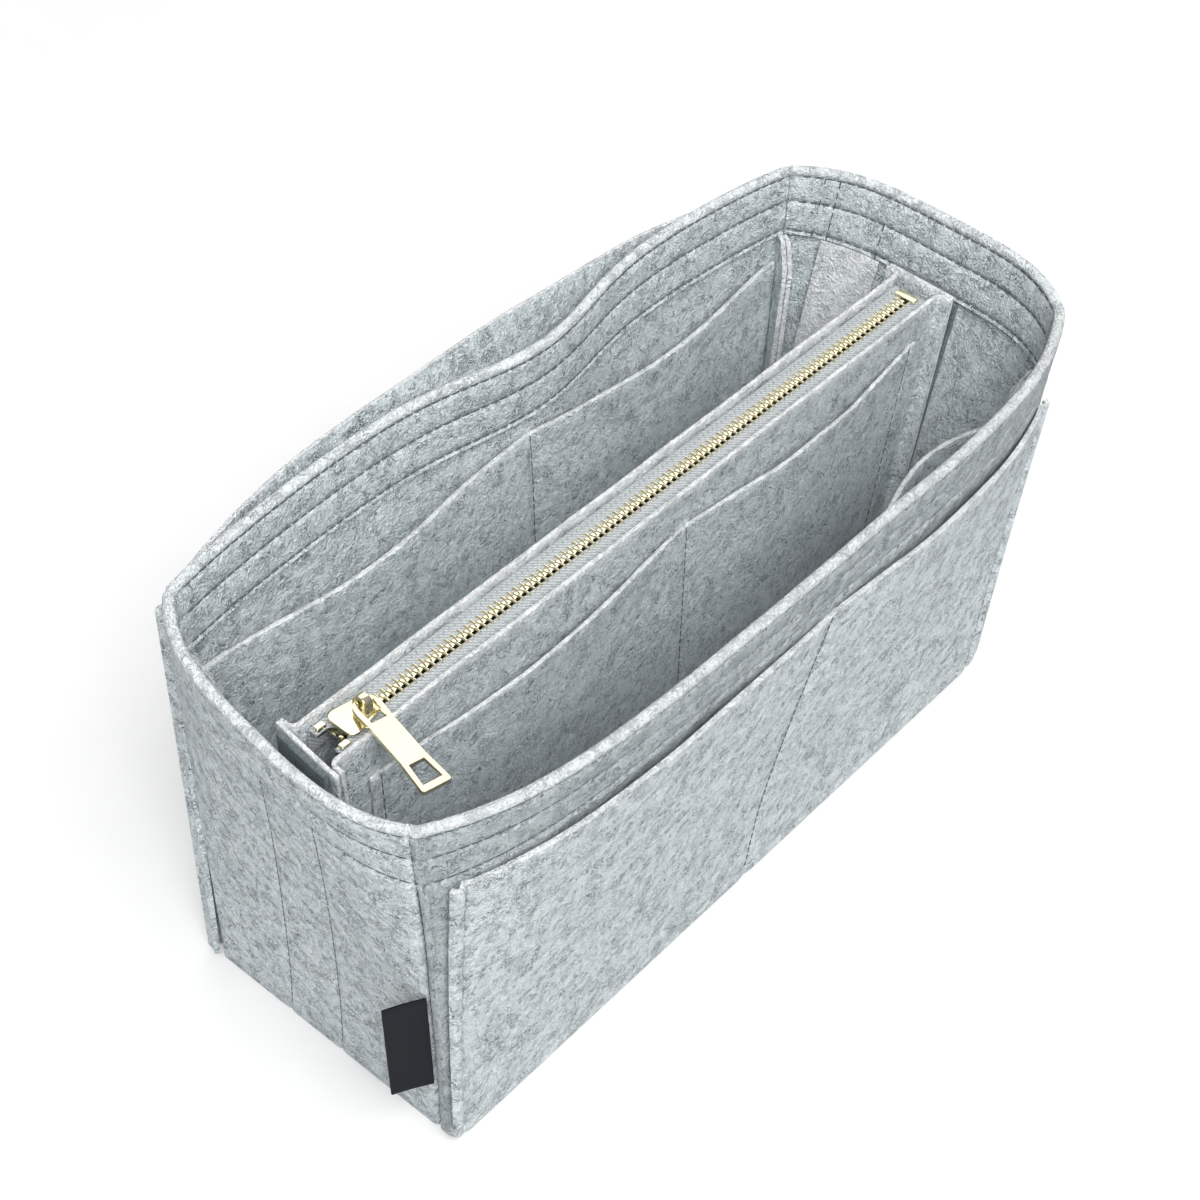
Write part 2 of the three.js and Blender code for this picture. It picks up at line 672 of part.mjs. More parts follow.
// A top stop: a metal clip bent over the inner edge of one tape
function topStop(sign) {
  const edge = TAPE_EDGE + TAPE_SPREAD;
  const inner = edge - GAP - STOP_THICK;
  const outer = edge + STOP_THICK;
  const slot = TAPE_THICK / 2 + GAP;
  const height = slot + STOP_THICK;
  const section = [
    [inner, -height],
    [outer, -height],
    [outer, -slot],
    [edge - GAP, -slot],
    [edge - GAP, slot],
    [outer, slot],
    [outer, height],
    [inner, height],
  ].map(([y, z]) => [POUCH_Y + sign * y, ZIP_Z + z]);
  return alongX(shapeOf(section), STOP_X, STOP_X + STOP_LENGTH);
}

// The bottom stop: two plates joined between the tapes, over and under them
function bottomStop() {
  const web = TAPE_EDGE - GAP;
  const outer = TAPE_EDGE + STOP_THICK;
  const slot = TAPE_THICK / 2 + GAP;
  const height = slot + STOP_THICK;
  const half = [
    [outer, -height],
    [outer, -slot],
    [web, -slot],
    [web, slot],
    [outer, slot],
    [outer, height],
  ];
  const other = half.map(([y, z]) => [-y, z]).reverse();
  const section = [...half, ...other].map(([y, z]) => [POUCH_Y + y, ZIP_Z + z]);
  return alongX(shapeOf(section), BOTTOM_STOP_X, BOTTOM_STOP_X + STOP_LENGTH);
}

function buildZip() {
  for (const [side, sign] of [['front', -1], ['back', 1]]) {
    addPiece(`zip_tape_${side}`, zipTape(sign), tapeGrey);
    addPiece(`zip_teeth_${side}`, zipTeeth(sign), gold);
    addPiece(`top_stop_${side}`, topStop(sign), gold);
  }
  addPiece('bottom_stop', bottomStop(), gold);
}

// Slider: two shield plates round the chain, joined by a post at the nose, with flanges that
// leave a slot for the tapes, and a crown over the top plate that holds the pull tab
const SLIDER_HALF = CHAIN_HALF + GAP + SLIDER_FLANGE;
const SLIDER_TOP = CHANNEL_HALF + SLIDER_PLATE;
const PIVOT_RISE = SLIDER_TOP + CROWN_HEIGHT;

function sliderPlan() {
  const nose = -SLIDER_LENGTH / 2;
  const tail = SLIDER_LENGTH / 2;
  const wide = SLIDER_HALF + SLIDER_NOSE;
  const shape = new THREE.Shape();
  shape.moveTo(nose, -wide / 2);
  shape.quadraticCurveTo(nose, -wide, nose + POST_LENGTH, -wide);
  shape.lineTo(tail - SLIDER_PLATE, -SLIDER_HALF);
  shape.lineTo(tail, -SLIDER_HALF + SLIDER_PLATE);
  shape.lineTo(tail, SLIDER_HALF - SLIDER_PLATE);
  shape.lineTo(tail - SLIDER_PLATE, SLIDER_HALF);
  shape.lineTo(nose + POST_LENGTH, wide);
  shape.quadraticCurveTo(nose, wide, nose, wide / 2);
  return shape;
}

function sliderPost() {
  const nose = -SLIDER_LENGTH / 2;
  const half = POST_WIDTH / 2;
  const middle = nose + POST_LENGTH / 2;
  const plan = shapeOf([[nose + GAP, 0], [middle, -half], [nose + POST_LENGTH, 0], [middle, half]]);
  return upright(plan, -SLIDER_TOP, SLIDER_TOP);
}

function sliderFlanges() {
  const slot = TAPE_THICK / 2 + GAP;
  const inner = CHAIN_HALF + GAP;
  const tail = SLIDER_LENGTH / 2 - SLIDER_PLATE;
  const start = -SLIDER_LENGTH / 2 + POST_LENGTH;
  const overlap = SLIDER_PLATE / 2;
  const pieces = [];
  for (const side of [-1, 1]) {
    for (const level of [-1, 1]) {
      const section = [
        [side * inner, level * slot],
        [side * SLIDER_HALF, level * slot],
        [side * SLIDER_HALF, level * (CHANNEL_HALF + overlap)],
        [side * inner, level * (CHANNEL_HALF + overlap)],
      ];
      pieces.push(alongX(shapeOf(section), start, tail));
    }
  }
  return pieces;
}

function sliderCrown() {
  const hole = TAB_BAR / 2 + CROWN_ROOM;
  const outer = hole + CROWN_THICK;
  const shape = new THREE.Shape();
  shape.moveTo(-outer, SLIDER_TOP - SLIDER_PLATE / 2);
  shape.lineTo(-outer, PIVOT_RISE);
  shape.absarc(0, PIVOT_RISE, outer, Math.PI, 0, true);
  shape.lineTo(outer, SLIDER_TOP - SLIDER_PLATE / 2);
  shape.lineTo(hole, SLIDER_TOP - SLIDER_PLATE / 2);
  shape.lineTo(hole, PIVOT_RISE);
  shape.absarc(0, PIVOT_RISE, hole, 0, Math.PI, false);
  shape.lineTo(-hole, SLIDER_TOP - SLIDER_PLATE / 2);
  return alongX(shape, CROWN_SHIFT - CROWN_WIDTH / 2, CROWN_SHIFT + CROWN_WIDTH / 2);
}

function buildSlider() {
  const plates = [
    upright(sliderPlan(), CHANNEL_HALF, SLIDER_TOP),
    upright(sliderPlan(), -SLIDER_TOP, -CHANNEL_HALF),
  ];
  const body = union([...plates, sliderPost(), ...sliderFlanges(), sliderCrown()]);
  const slider = addPiece('slider_body', body, gold);
  slider.position.set(SLIDER_X, POUCH_Y, ZIP_Z);
}

// Pull tab: a flat bar with a rounded loop over the crown and a square frame at its far end
function tabPlan() {
  const top = -TAB_BAR / 2;
  const loop = TAB_LOOP_WIDTH / 2;
  const waist = TAB_WAIST / 2;
  const foot = TAB_FOOT_WIDTH / 2;
  const end = top + TAB_LENGTH;
  const neck = top + TAB_LOOP_LENGTH;
  const frame = end - TAB_FOOT_LENGTH;
  const shape = new THREE.Shape();
  shape.moveTo(-waist, neck);
  shape.lineTo(-loop, top + loop);
  shape.quadraticCurveTo(-loop, top, -loop / 2, top);
  shape.lineTo(loop / 2, top);
  shape.quadraticCurveTo(loop, top, loop, top + loop);
  shape.lineTo(waist, neck);
  shape.lineTo(waist, frame - TAB_FRAME);
  shape.lineTo(foot, end - TAB_FOOT_CORNER);
  shape.quadraticCurveTo(foot, end, foot - TAB_FOOT_CORNER, end);
  shape.lineTo(-foot + TAB_FOOT_CORNER, end);
  shape.quadraticCurveTo(-foot, end, -foot, end - TAB_FOOT_CORNER);
  shape.lineTo(-waist, frame - TAB_FRAME);
  const opening = (first, low, last, high) =>
    shapeOf([[-first, low], [first, low], [last, high], [-last, high]]);
  const inLoop = loop - TAB_FRAME;
  const inWaist = waist - TAB_FRAME;
  shape.holes.push(opening(inLoop, TAB_BAR / 2, inWaist, neck - TAB_BAR));
  shape.holes.push(opening(inWaist, frame, foot - TAB_FRAME, end - 1.5 * TAB_FRAME));
  return shape;
}

function buildPullTab() {
  const clear = ZIP_Z + PIVOT_RISE - TAB_THICK / 2 - (POUCH_TOP + GAP);
  const tab = upright(tabPlan(), -TAB_THICK / 2, TAB_THICK / 2).rotateZ(Math.PI);
  const pull = addPiece('pull_tab', tab, gold);
  pull.position.set(SLIDER_X + CROWN_SHIFT, POUCH_Y, ZIP_Z + PIVOT_RISE);
  pull.rotation.order = 'ZXY';
  pull.rotation.z = -THREE.MathUtils.degToRad(TAB_YAW);
  pull.rotation.x = Math.atan2(clear, PANEL_Y);
}

buildTub();
buildWallPockets();
buildEndStrips();
buildLabel();
buildPouch();
buildZip();
buildSlider();
buildPullTab();

export default insert;
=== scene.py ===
# Purse organizer insert: a felt tub with pockets, a lift-out zip pouch, its slider and pull tab.
# Sizes are written in millimetres and become metres as each mesh is laid out.
import math

import bpy
from mathutils import Matrix, Vector, noise


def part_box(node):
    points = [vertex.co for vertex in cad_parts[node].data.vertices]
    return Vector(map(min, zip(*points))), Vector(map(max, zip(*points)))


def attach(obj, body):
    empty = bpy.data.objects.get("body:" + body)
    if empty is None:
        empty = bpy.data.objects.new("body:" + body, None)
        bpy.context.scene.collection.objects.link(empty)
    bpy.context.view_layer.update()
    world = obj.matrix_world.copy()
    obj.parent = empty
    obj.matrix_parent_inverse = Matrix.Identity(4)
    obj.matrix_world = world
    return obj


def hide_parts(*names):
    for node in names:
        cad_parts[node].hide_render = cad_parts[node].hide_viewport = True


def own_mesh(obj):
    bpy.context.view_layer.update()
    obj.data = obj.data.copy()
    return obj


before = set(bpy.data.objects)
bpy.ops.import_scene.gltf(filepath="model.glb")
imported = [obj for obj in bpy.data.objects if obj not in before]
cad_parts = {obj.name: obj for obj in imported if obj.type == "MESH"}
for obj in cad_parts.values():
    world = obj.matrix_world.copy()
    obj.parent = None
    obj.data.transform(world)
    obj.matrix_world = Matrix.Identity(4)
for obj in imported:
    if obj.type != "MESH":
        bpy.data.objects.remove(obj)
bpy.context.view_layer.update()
mm = 0.001


# Base panel. One flat piece of light heathered polyester felt, die-cut and sewn to the foot of
# the four walls. Its cut edge is a little whiter than its pressed faces.
felt_thick = 1.6
seam_gap = 0.3
base_length = 265
base_width = 99
edge_angle = math.radians(62)
smooth_angle = math.radians(55)
vein_sizes = ((4.2, 3.0, 0.01, 0.042, 5), (2.2, 2.2, 0.014, 0.055, 3.5))
fine_vein_share = 0.55
# Painted highlight on the tops of folds: where the whitening starts, where it is full, and its colour.
highlight_start = 3.0
highlight_full = 1.4
felt_fold_highlight = (0.92, 0.935, 0.94, 1)
felt_dark = (0.59, 0.67, 0.7, 1)
felt_light = (0.87, 0.925, 0.945, 1)
felt_fibre = (0.12, 0.155, 0.175, 1)
cut_dark = (0.78, 0.815, 0.83, 1)
cut_light = (0.93, 0.94, 0.945, 1)


def add_node(tree, kind, inputs=None, **settings):
    made = tree.nodes.new(kind)
    for key, value in settings.items():
        setattr(made, key, value)
    for socket, value in (inputs or {}).items():
        if isinstance(value, bpy.types.NodeSocket):
            tree.links.new(value, made.inputs[socket])
        else:
            made.inputs[socket].default_value = value
    return made


def grain(tree, where, size, detail=2.0, twist=0.0):
    wanted = {"Vector": where, "Scale": 1 / (size * mm), "Detail": detail, "Distortion": twist}
    return add_node(tree, "ShaderNodeTexNoise", wanted | {"Roughness": 0.6}).outputs[0]


def spread(tree, value, low, high, first, last):
    wanted = {"Value": value, "From Min": low, "From Max": high, "To Min": first, "To Max": last}
    return add_node(tree, "ShaderNodeMapRange", wanted).outputs[0]


def reckon(tree, operation, first, second):
    return add_node(tree, "ShaderNodeMath", {0: first, 1: second}, operation=operation).outputs[0]


def weigh(tree, first, first_share, second, second_share):
    one = reckon(tree, "MULTIPLY", first, first_share)
    other = reckon(tree, "MULTIPLY", second, second_share)
    return reckon(tree, "ADD", one, other)


def tint(tree, share, first, second, blend="MIX"):
    wanted = {"Fac": share, "Color1": first, "Color2": second}
    return add_node(tree, "ShaderNodeMixRGB", wanted, blend_type=blend).outputs[0]


def shaded(tree, colour, share, darkest, lightest):
    dark = (darkest, darkest, darkest, 1)
    light = (lightest, lightest, lightest, 1)
    return tint(tree, 1, colour, tint(tree, share, dark, light), "MULTIPLY")


def new_finish(name):
    finish = bpy.data.materials.new(name)
    finish.use_nodes = True
    tree = finish.node_tree
    where = add_node(tree, "ShaderNodeTexCoord").outputs["Object"]
    return finish, tree, tree.nodes["Principled BSDF"], where


def emboss(tree, shader, height, strength, depth):
    wanted = {"Height": height, "Strength": strength, "Distance": depth * mm}
    bump = add_node(tree, "ShaderNodeBump", wanted)
    tree.links.new(bump.outputs[0], shader.inputs["Normal"])


def settle(shader, values):
    for socket, value in values.items():
        shader.inputs[socket].default_value = value


def heather_felt(name, dark, light, fibre, fleck, fold_height=None, fold_highlight=0.4):
    finish, tree, shader, where = new_finish(name)
    cloud = spread(tree, grain(tree, where, 11, 4, 0.6), 0.34, 0.66, 0, 1)
    mottle = spread(tree, grain(tree, where, 1.9, 3, 1.4), 0.32, 0.68, 0, 1)
    fuzz = spread(tree, grain(tree, where, 0.8, 2, 0.4), 0.3, 0.7, 0, 1)
    veins = []
    for size, twist, thin, wide, gaps in vein_sizes:
        off_middle = reckon(tree, "SUBTRACT", grain(tree, where, size, 2, twist), 0.5)
        strand = reckon(tree, "ABSOLUTE", off_middle, 0)
        broken = spread(tree, grain(tree, where, gaps, 2, 0.5), 0.47, 0.6, 0, 1)
        veins.append(reckon(tree, "MULTIPLY", spread(tree, strand, thin, wide, 1, 0), broken))
    strands = reckon(tree, "MAXIMUM", veins[0], reckon(tree, "MULTIPLY", veins[1], fine_vein_share))
    body = tint(tree, weigh(tree, cloud, 0.3, mottle, 0.7), dark, light)
    flecked = tint(tree, reckon(tree, "MULTIPLY", strands, fleck), body, fibre)
    # Painted highlight: the felt is whitened towards fold_height, standing in for light on the top of a
    # fold.
    if fold_height:
        height = add_node(tree, "ShaderNodeSeparateXYZ", {0: where}).outputs[2]
        highlight_low = (fold_height - highlight_start) * mm
        highlight_high = (fold_height - highlight_full) * mm
        flecked = tint(tree, spread(tree, height, highlight_low, highlight_high, 0, fold_highlight), flecked, felt_fold_highlight)
    tree.links.new(shaded(tree, flecked, fuzz, 0.8, 1.1), shader.inputs["Base Color"])
    raised = weigh(tree, fuzz, 0.55, mottle, 0.8)
    sunk = reckon(tree, "SUBTRACT", raised, reckon(tree, "MULTIPLY", strands, 0.6))
    emboss(tree, shader, sunk, 1.0, 0.65)
    settle(shader, {"Roughness": 0.95, "Specular IOR Level": 0.15})
    settle(shader, {"Sheen Weight": 0.1, "Sheen Roughness": 0.6})
    return finish


felt = heather_felt("heathered_felt", felt_dark, felt_light, felt_fibre, 0.9)
cut_felt = heather_felt("cut_felt_edge", cut_dark, cut_light, felt_fibre, 0.2)


def levels(low, high, count):
    return [low + (high - low) * i / count for i in range(count + 1)]


def lay_sheet(name, across, up, place, thick, finishes, soften=0.4):
    columns = len(across) - 1
    rows = len(up) - 1
    bpy.ops.mesh.primitive_grid_add(x_subdivisions=columns, y_subdivisions=rows, size=2)
    piece = bpy.context.object
    piece.name = name
    for vertex in piece.data.vertices:
        a = across[round((vertex.co.x + 1) / 2 * columns)]
        u = up[round((vertex.co.y + 1) / 2 * rows)]
        vertex.co = place(a, u) * mm
    for finish in finishes:
        piece.data.materials.append(finish)
    layer = piece.modifiers.new("layer", "SOLIDIFY")
    layer.thickness = thick * mm
    layer.offset = 0
    layer.material_offset_rim = len(finishes) - 1
    edge = piece.modifiers.new("soft edge", "BEVEL")
    edge.limit_method = "ANGLE"
    edge.angle_limit = edge_angle
    edge.width = soften * mm
    edge.segments = 2
    bpy.ops.object.modifier_apply(modifier=layer.name)
    bpy.ops.object.modifier_apply(modifier=edge.name)
    bpy.ops.object.shade_smooth_by_angle(angle=smooth_angle)
    return piece


def dress(piece, body, slot, *stands_for):
    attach(piece, body)
    if stands_for:
        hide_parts(*stands_for)
    return piece


floor_inset = felt_thick + seam_gap
floor_x = base_length / 2 - floor_inset
floor_y = base_width / 2 - floor_inset
base_felt = lay_sheet(
    "base_felt", levels(-floor_x, floor_x, 60), levels(-floor_y, floor_y, 22),
    lambda x, y: Vector((x, y, felt_thick / 2)), felt_thick, [felt, cut_felt],
)
dress(base_felt, "tub", "felt", "base_panel")


# Walls. Four pieces of the same felt, sewn together at straight corner seams whose allowances turn
# in, and folded in at the rim to a doubled hem. They stand by themselves, lean out and bow softly.
rim_height = 154
hem_depth = 25
hem_foot = rim_height - hem_depth
hem_start = hem_foot - 1
hem_thick = 2 * felt_thick + seam_gap
hem_rows = [3, 12.5, 23.5]
groove_depth = 0.9
groove_width = 0.85
puff = 0.14
last_puff = hem_depth + 3
corner_lean = {
    "front_left": (-1, -1, 18, -1),
    "front_right": (1, -1, 6.5, 0.5),
    "back_right": (1, 1, 4.5, 8.5),
    "back_left": (-1, 1, 3.5, 8.5),
}
wall_order = ["front", "right", "back", "left"]
wall_ends = {
    "front": ("front_left", "front_right"),
    "right": ("front_right", "back_right"),
    "back": ("back_right", "back_left"),
    "left": ("back_left", "front_left"),
}
wall_outward = {"front": (0, -1), "right": (1, 0), "back": (0, 1), "left": (-1, 0)}
wall_bow = {"front": (17, 5), "right": (16, 3.5), "back": (8, 4), "left": (13.5, 3.5)}
bow_power = 1.6
dent_depth = 10
dent_x = 12
dent_reach = 36
waver = 0.7
waver_scale = 0.02
waver_height = 30
seam_allowance = 8
trimmed_allowance = 4.2
trim_height = 8
hem_allowance = 0.9
hem_turn = 0.5
seam_turn_radius = 0.95
rim_turn_radius = 0.7
rim_turn_clear = 0.4
rim_turn_sweep = 0.3
wrapped_ends = (("front", True), ("left", False))
seam_wrap = 2.1
foot_wrap = 3.9
wrap_end = 100
least_wrap = 0.15
round_share = 0.6
strip_lines = {"left": [-14.2, 6.9], "right": [-9.5, 10.5]}
strip_slant = {"left": 0.081, "right": 0}
strip_start = 125
line_groove = 0.55
line_width = 0.8
line_margin = 2.4
long_wall_steps = 110
end_wall_steps = (14, 8, 8, 8, 14)
# Painted shade: the front wall's felt is darker than the other walls, standing in for the shade on that
# outward-leaning wall.
front_shade_dark = (0.39, 0.45, 0.47, 1)
front_shade_light = (0.6, 0.645, 0.66, 1)


def mix(a, b, t):
    return a + (b - a) * t


def swell(s, power):
    return 1 - abs(2 * s - 1) ** power


def press(distance, width=groove_width):
    return math.exp(-((distance / width) ** 2))


def line_y(wall, line, z):
    return line + strip_slant[wall] * (strip_start - z)


def corner_at(corner, z):
    side_x, side_y, lean_x, lean_y = corner_lean[corner]
    rise = z / rim_height
    x = side_x * (base_length / 2 + lean_x * rise)
    y = side_y * (base_width / 2 + lean_y * rise)
    return Vector((x, y, z))


def end_corners(wall, z):
    first, last = wall_ends[wall]
    return corner_at(first, z), corner_at(last, z)


def share_at(wall, y, z):
    first, last = end_corners(wall, z)
    return (y - first.y) / (last.y - first.y)


def wall_at(wall, s, z, dented=True):
    first, last = end_corners(wall, z)
    point = first.lerp(last, s)
    most, power = wall_bow[wall]
    bow = most * swell(s, power)
    if wall == "back" and dented:
        bow -= dent_depth * press(point.x - dent_x, dent_reach) * swell(s, power)
    drift = noise.noise(Vector((point.x, point.y, 0.7 * z)) * waver_scale) * waver * swell(s, 6)
    out = bow * max(z / rim_height, 0) ** bow_power + drift * min(1, max(z, 0) / waver_height)
    return point + Vector((*wall_outward[wall], 0)) * out


def wall_along(wall, s, z, dented=True):
    step = 0.002
    ahead = wall_at(wall, min(1, s + step), z, dented)
    return (ahead - wall_at(wall, max(0, s - step), z, dented)).normalized()


def inward_of(along):
    return Vector((-along.y, along.x, 0))


def in_wall(wall, s, depth, z, dented=True):
    return wall_at(wall, s, z, dented) + inward_of(wall_along(wall, s, z, dented)) * depth


def corner_frame(wall, at_start, z):
    end, sign = (0, 1) if at_start else (1, -1)
    other = wall_order[(wall_order.index(wall) - sign) % 4]
    own = wall_along(wall, end, z) * sign
    theirs = wall_along(other, 1 - end, z) * -sign
    inward = (own + theirs).normalized()
    side = (own - inward * own.dot(inward)).normalized()
    return wall_at(wall, end, z), own, inward, side


def wall_length(wall, z):
    return (wall_at(wall, 1, z) - wall_at(wall, 0, z)).length


def wrap_at(z):
    return seam_wrap + foot_wrap * max(0, 1 - z / wrap_end)


def seam_frame(wall, at_start, z):
    if (wall, at_start) not in wrapped_ends:
        return corner_frame(wall, at_start, z)
    s = 1 - wrap_at(z) / wall_length("left", z)
    along = wall_along("left", s, z)
    own = along if wall == "front" else -along
    return wall_at("left", s, z), own, inward_of(along), own


def round_the_corner(depth, z, start):
    left = wall_length("left", z)
    spare = max(least_wrap, wrap_at(z) - start)
    round_off = round_share * spare
    corner, own, inward, side = corner_frame("front", True, z)
    near = in_wall("left", 1 - round_off / left, depth, z)
    far = in_wall("front", round_off / wall_length("front", z), depth, z)
    middle = corner + inward * depth / own.dot(side)
    points = [in_wall("left", 1 - d / left, depth, z) for d in levels(spare, round_off, 4)[1:-1]]
    for t in levels(0, 1, 6):
        points.append(near.lerp(middle, t).lerp(middle.lerp(far, t), t))
    return round_off, points


def turned_end(wall, at_start, depth, z, turn, allowance):
    corner, own, inward, side = seam_frame(wall, at_start, z)
    angle = math.acos(own.dot(inward))
    radius = mix(rim_turn_radius, seam_turn_radius, turn)
    clear = mix(rim_turn_clear, seam_gap / 2 + felt_thick / 2, turn)
    tangent = (clear + math.cos(angle) * depth) / math.sin(angle) + radius / math.tan(angle / 2)
    centre_in = math.cos(angle) * tangent + math.sin(angle) * (depth + radius)
    centre_side = math.sin(angle) * tangent - math.cos(angle) * (depth + radius)
    sweep = mix(rim_turn_sweep, math.pi - angle, turn)
    points = []
    for turned in levels(math.pi / 2 + angle, math.pi / 2 + angle + sweep, 5):
        points.append((centre_in + radius * math.cos(turned), centre_side + radius * math.sin(turned)))
    end_in, end_side = points[-1]
    for reach in (allowance - 0.6, allowance):
        points.append((end_in - math.sin(turned) * reach, end_side + math.cos(turned) * reach))
    return tangent, [corner + inward * a + side * b for a, b in points]


def stations(wall, start, end, z):
    if wall in ("front", "back"):
        return levels(start, end, long_wall_steps)
    lines = [line_y(wall, y, z) for y in strip_lines[wall]]
    beside = [y + d for y in lines for d in (-line_margin, line_margin)]
    stops = [start, *sorted(share_at(wall, y, z) for y in beside), end]
    found = [start]
    for low, high, count in zip(stops, stops[1:], end_wall_steps):
        found += levels(low, high, count)[1:]
    return found


def wall_line(wall, depth, z, turn, allowance, lined):
    length = wall_length(wall, z)
    start, first = turned_end(wall, True, depth, z, turn, allowance)
    end, last = turned_end(wall, False, depth, z, turn, allowance)
    lines = [line_y(wall, y, z) for y in strip_lines.get(wall, [])]
    middle = []
    if wall == "front":
        start, middle = round_the_corner(depth, z, start)
    if wall == "left":
        end += wrap_at(z)
    for s in stations(wall, start / length, 1 - end / length, z)[1:-1]:
        here = in_wall(wall, s, depth, z).y
        sewn = max((press(here - y, line_width) for y in lines), default=0)
        middle.append(in_wall(wall, s, depth + lined * line_groove * sewn, z))
    return first[::-1] + middle + last


def hem_groove(z):
    down = rim_height - z
    groove = groove_depth * sum(press(down - row) for row in hem_rows)
    bands = [0, *hem_rows, last_puff]
    for low, high in zip(bands, bands[1:]):
        if low <= down < high:
            groove -= puff * math.sin(math.pi * (down - low) / (high - low)) ** 2
    return groove


def allowance_at(z):
    if z > hem_start:
        return hem_allowance
    trimmed = max(0, 1 - (hem_foot - 2 - z) / trim_height)
    return mix(seam_allowance, trimmed_allowance, trimmed)


def wall_rows(wall):
    fold = hem_thick / 2
    fold_radius = fold - felt_thick / 2
    fold_foot = rim_height - fold
    ends = wall in ("left", "right")
    rows = []
    below_hem = levels(0, hem_foot - 10, 20) + [hem_foot - 6]
    for z in below_hem + levels(hem_foot - 2, fold_foot, 30):
        lined = 1 if ends and z < hem_foot + 2 else 0
        turn = hem_turn if z > hem_start else 1
        rows.append((felt_thick / 2 + hem_groove(z), z, turn, allowance_at(z), lined))
    for angle in levels(math.pi, 0, 8)[1:-1]:
        depth = fold + fold_radius * math.cos(angle)
        z = fold_foot + fold_radius * math.sin(angle)
        rows.append((depth, z, hem_turn * angle / math.pi, hem_allowance, 0))
    for z in levels(fold_foot, hem_foot, 30):
        rows.append((hem_thick - felt_thick / 2 - hem_groove(z), z, 0, hem_allowance, 0))
    return rows


def lay_rows(name, table, thick, finishes):
    columns = range(len(table[0]))
    rows = range(len(table))
    return lay_sheet(name, columns, rows, lambda column, row: table[row][column], thick, finishes)


# Painted highlight: the wall felts are whitened near the rim fold as light on its top.
rim_felt = heather_felt("folded_rim_felt", felt_dark, felt_light, felt_fibre, 0.85, rim_height)
# The front wall uses a darker copy of the felt as painted shade, with a stronger painted highlight at its
# fold.
front_shaded_felt = heather_felt("folded_front_shaded_felt", front_shade_dark, front_shade_light, felt_fibre, 0.85, rim_height, 0.55)
for wall in wall_order:
    node = f"{wall}_end_wall" if wall in ("left", "right") else f"{wall}_wall"
    table = [wall_line(wall, *row) for row in wall_rows(wall)]
    wall_felt = front_shaded_felt if wall == "front" else rim_felt
    piece = lay_rows(f"{wall}_wall_felt", table, felt_thick, [wall_felt, cut_felt])
    dress(piece, "tub", "felt", node)


# Hem and seam thread. Dark grey polyester thread in short lockstitches, pulled down into the felt
# in three rows round the rim on both faces, and up the four corner seams.
stitch_length = 3.25
stitch_pitch = 3.4
stitch_width = 0.55
stitch_height = 0.45
hem_margin = 2.5
hem_thread_depth = groove_depth - 0.35
seam_bulge = 1.3
seam_thread_depth = 0.75
rim_thread_depth = 0.3
seam_sway = 0.12


def paler(colour, times):
    return tuple(times * part for part in colour[:3]) + (1,)


def twisted_thread(name, colour):
    finish, tree, shader, where = new_finish(name)
    ply = grain(tree, where, 0.35, 2)
    tree.links.new(tint(tree, ply, colour, paler(colour, 1.9)), shader.inputs["Base Color"])
    emboss(tree, shader, ply, 0.5, 0.1)
    settle(shader, {"Roughness": 0.75, "Sheen Weight": 0.2})
    return finish


thread = twisted_thread("grey_thread", (0.06, 0.075, 0.085, 1))


def repeat_mesh(one, name, places, finish):
    corners = [vertex.co.copy() for vertex in one.data.vertices]
    faces = [tuple(face.vertices) for face in one.data.polygons]
    points = []
    sides = []
    for place in places:
        order = 1 if place.determinant() > 0 else -1
        first = len(points)
        points += [place @ corner for corner in corners]
        sides += [tuple(first + index for index in face[::order]) for face in faces]
    one.data.clear_geometry()
    one.data.from_pydata(points, [], sides)
    one.name = name
    one.data.materials.append(finish)


def sew(name, stitches, body, finish, length=stitch_length, slot="felt"):
    bpy.ops.mesh.primitive_uv_sphere_add(segments=6, ring_count=4, radius=0.5)
    one = bpy.context.object
    one.rotation_euler = (0, math.pi / 2, 0)
    one.scale = (stitch_height * mm, stitch_width * mm, length * mm)
    bpy.ops.object.transform_apply(location=False, rotation=True, scale=True)
    places = []
    for place, along, normal in stitches:
        across = normal.cross(along).normalized()
        turn = Matrix((along, across, along.cross(across))).transposed()
        places.append(Matrix.Translation(place * mm) @ turn.to_4x4())
    repeat_mesh(one, name, places, finish)
    bpy.ops.object.shade_smooth()
    return dress(one, body, slot)


def hem_stitches(wall):
    made = []
    length = wall_length(wall, rim_height)
    count = int((length - 2 * hem_margin) / stitch_pitch)
    for row in hem_rows:
        z = rim_height - row
        for i in range(count):
            s = (hem_margin + (i + 0.5) * stitch_pitch) / length
            if wall == "left" and (1 - s) * length < seam_wrap + 2:
                continue
            along = wall_along(wall, s, z)
            inward = inward_of(along)
            made.append((in_wall(wall, s, hem_thread_depth, z), along, -inward))
            made.append((in_wall(wall, s, hem_thick - hem_thread_depth, z), along, inward))
    return made


def seam_stitches(wall):
    made = []
    for z in levels(5, rim_height - 6, 42):
        corner, own, inward, side = seam_frame(wall, True, z)
        angle = math.acos(own.dot(inward))
        sunk = seam_thread_depth if z < hem_foot else rim_thread_depth
        depth = seam_bulge * (1 / math.sin(angle / 2) - 1) + sunk
        above = seam_frame(wall, True, z + 1)[0]
        rise = (above - corner + side * seam_sway * math.sin(5.1 * z)).normalized()
        made.append((corner + inward * depth, rise, -inward))
    return made


for wall in wall_order:
    sew(f"{wall}_hem_thread", hem_stitches(wall), "tub", thread)
    sew(f"{wall}_corner_thread", seam_stitches(wall), "tub", thread)


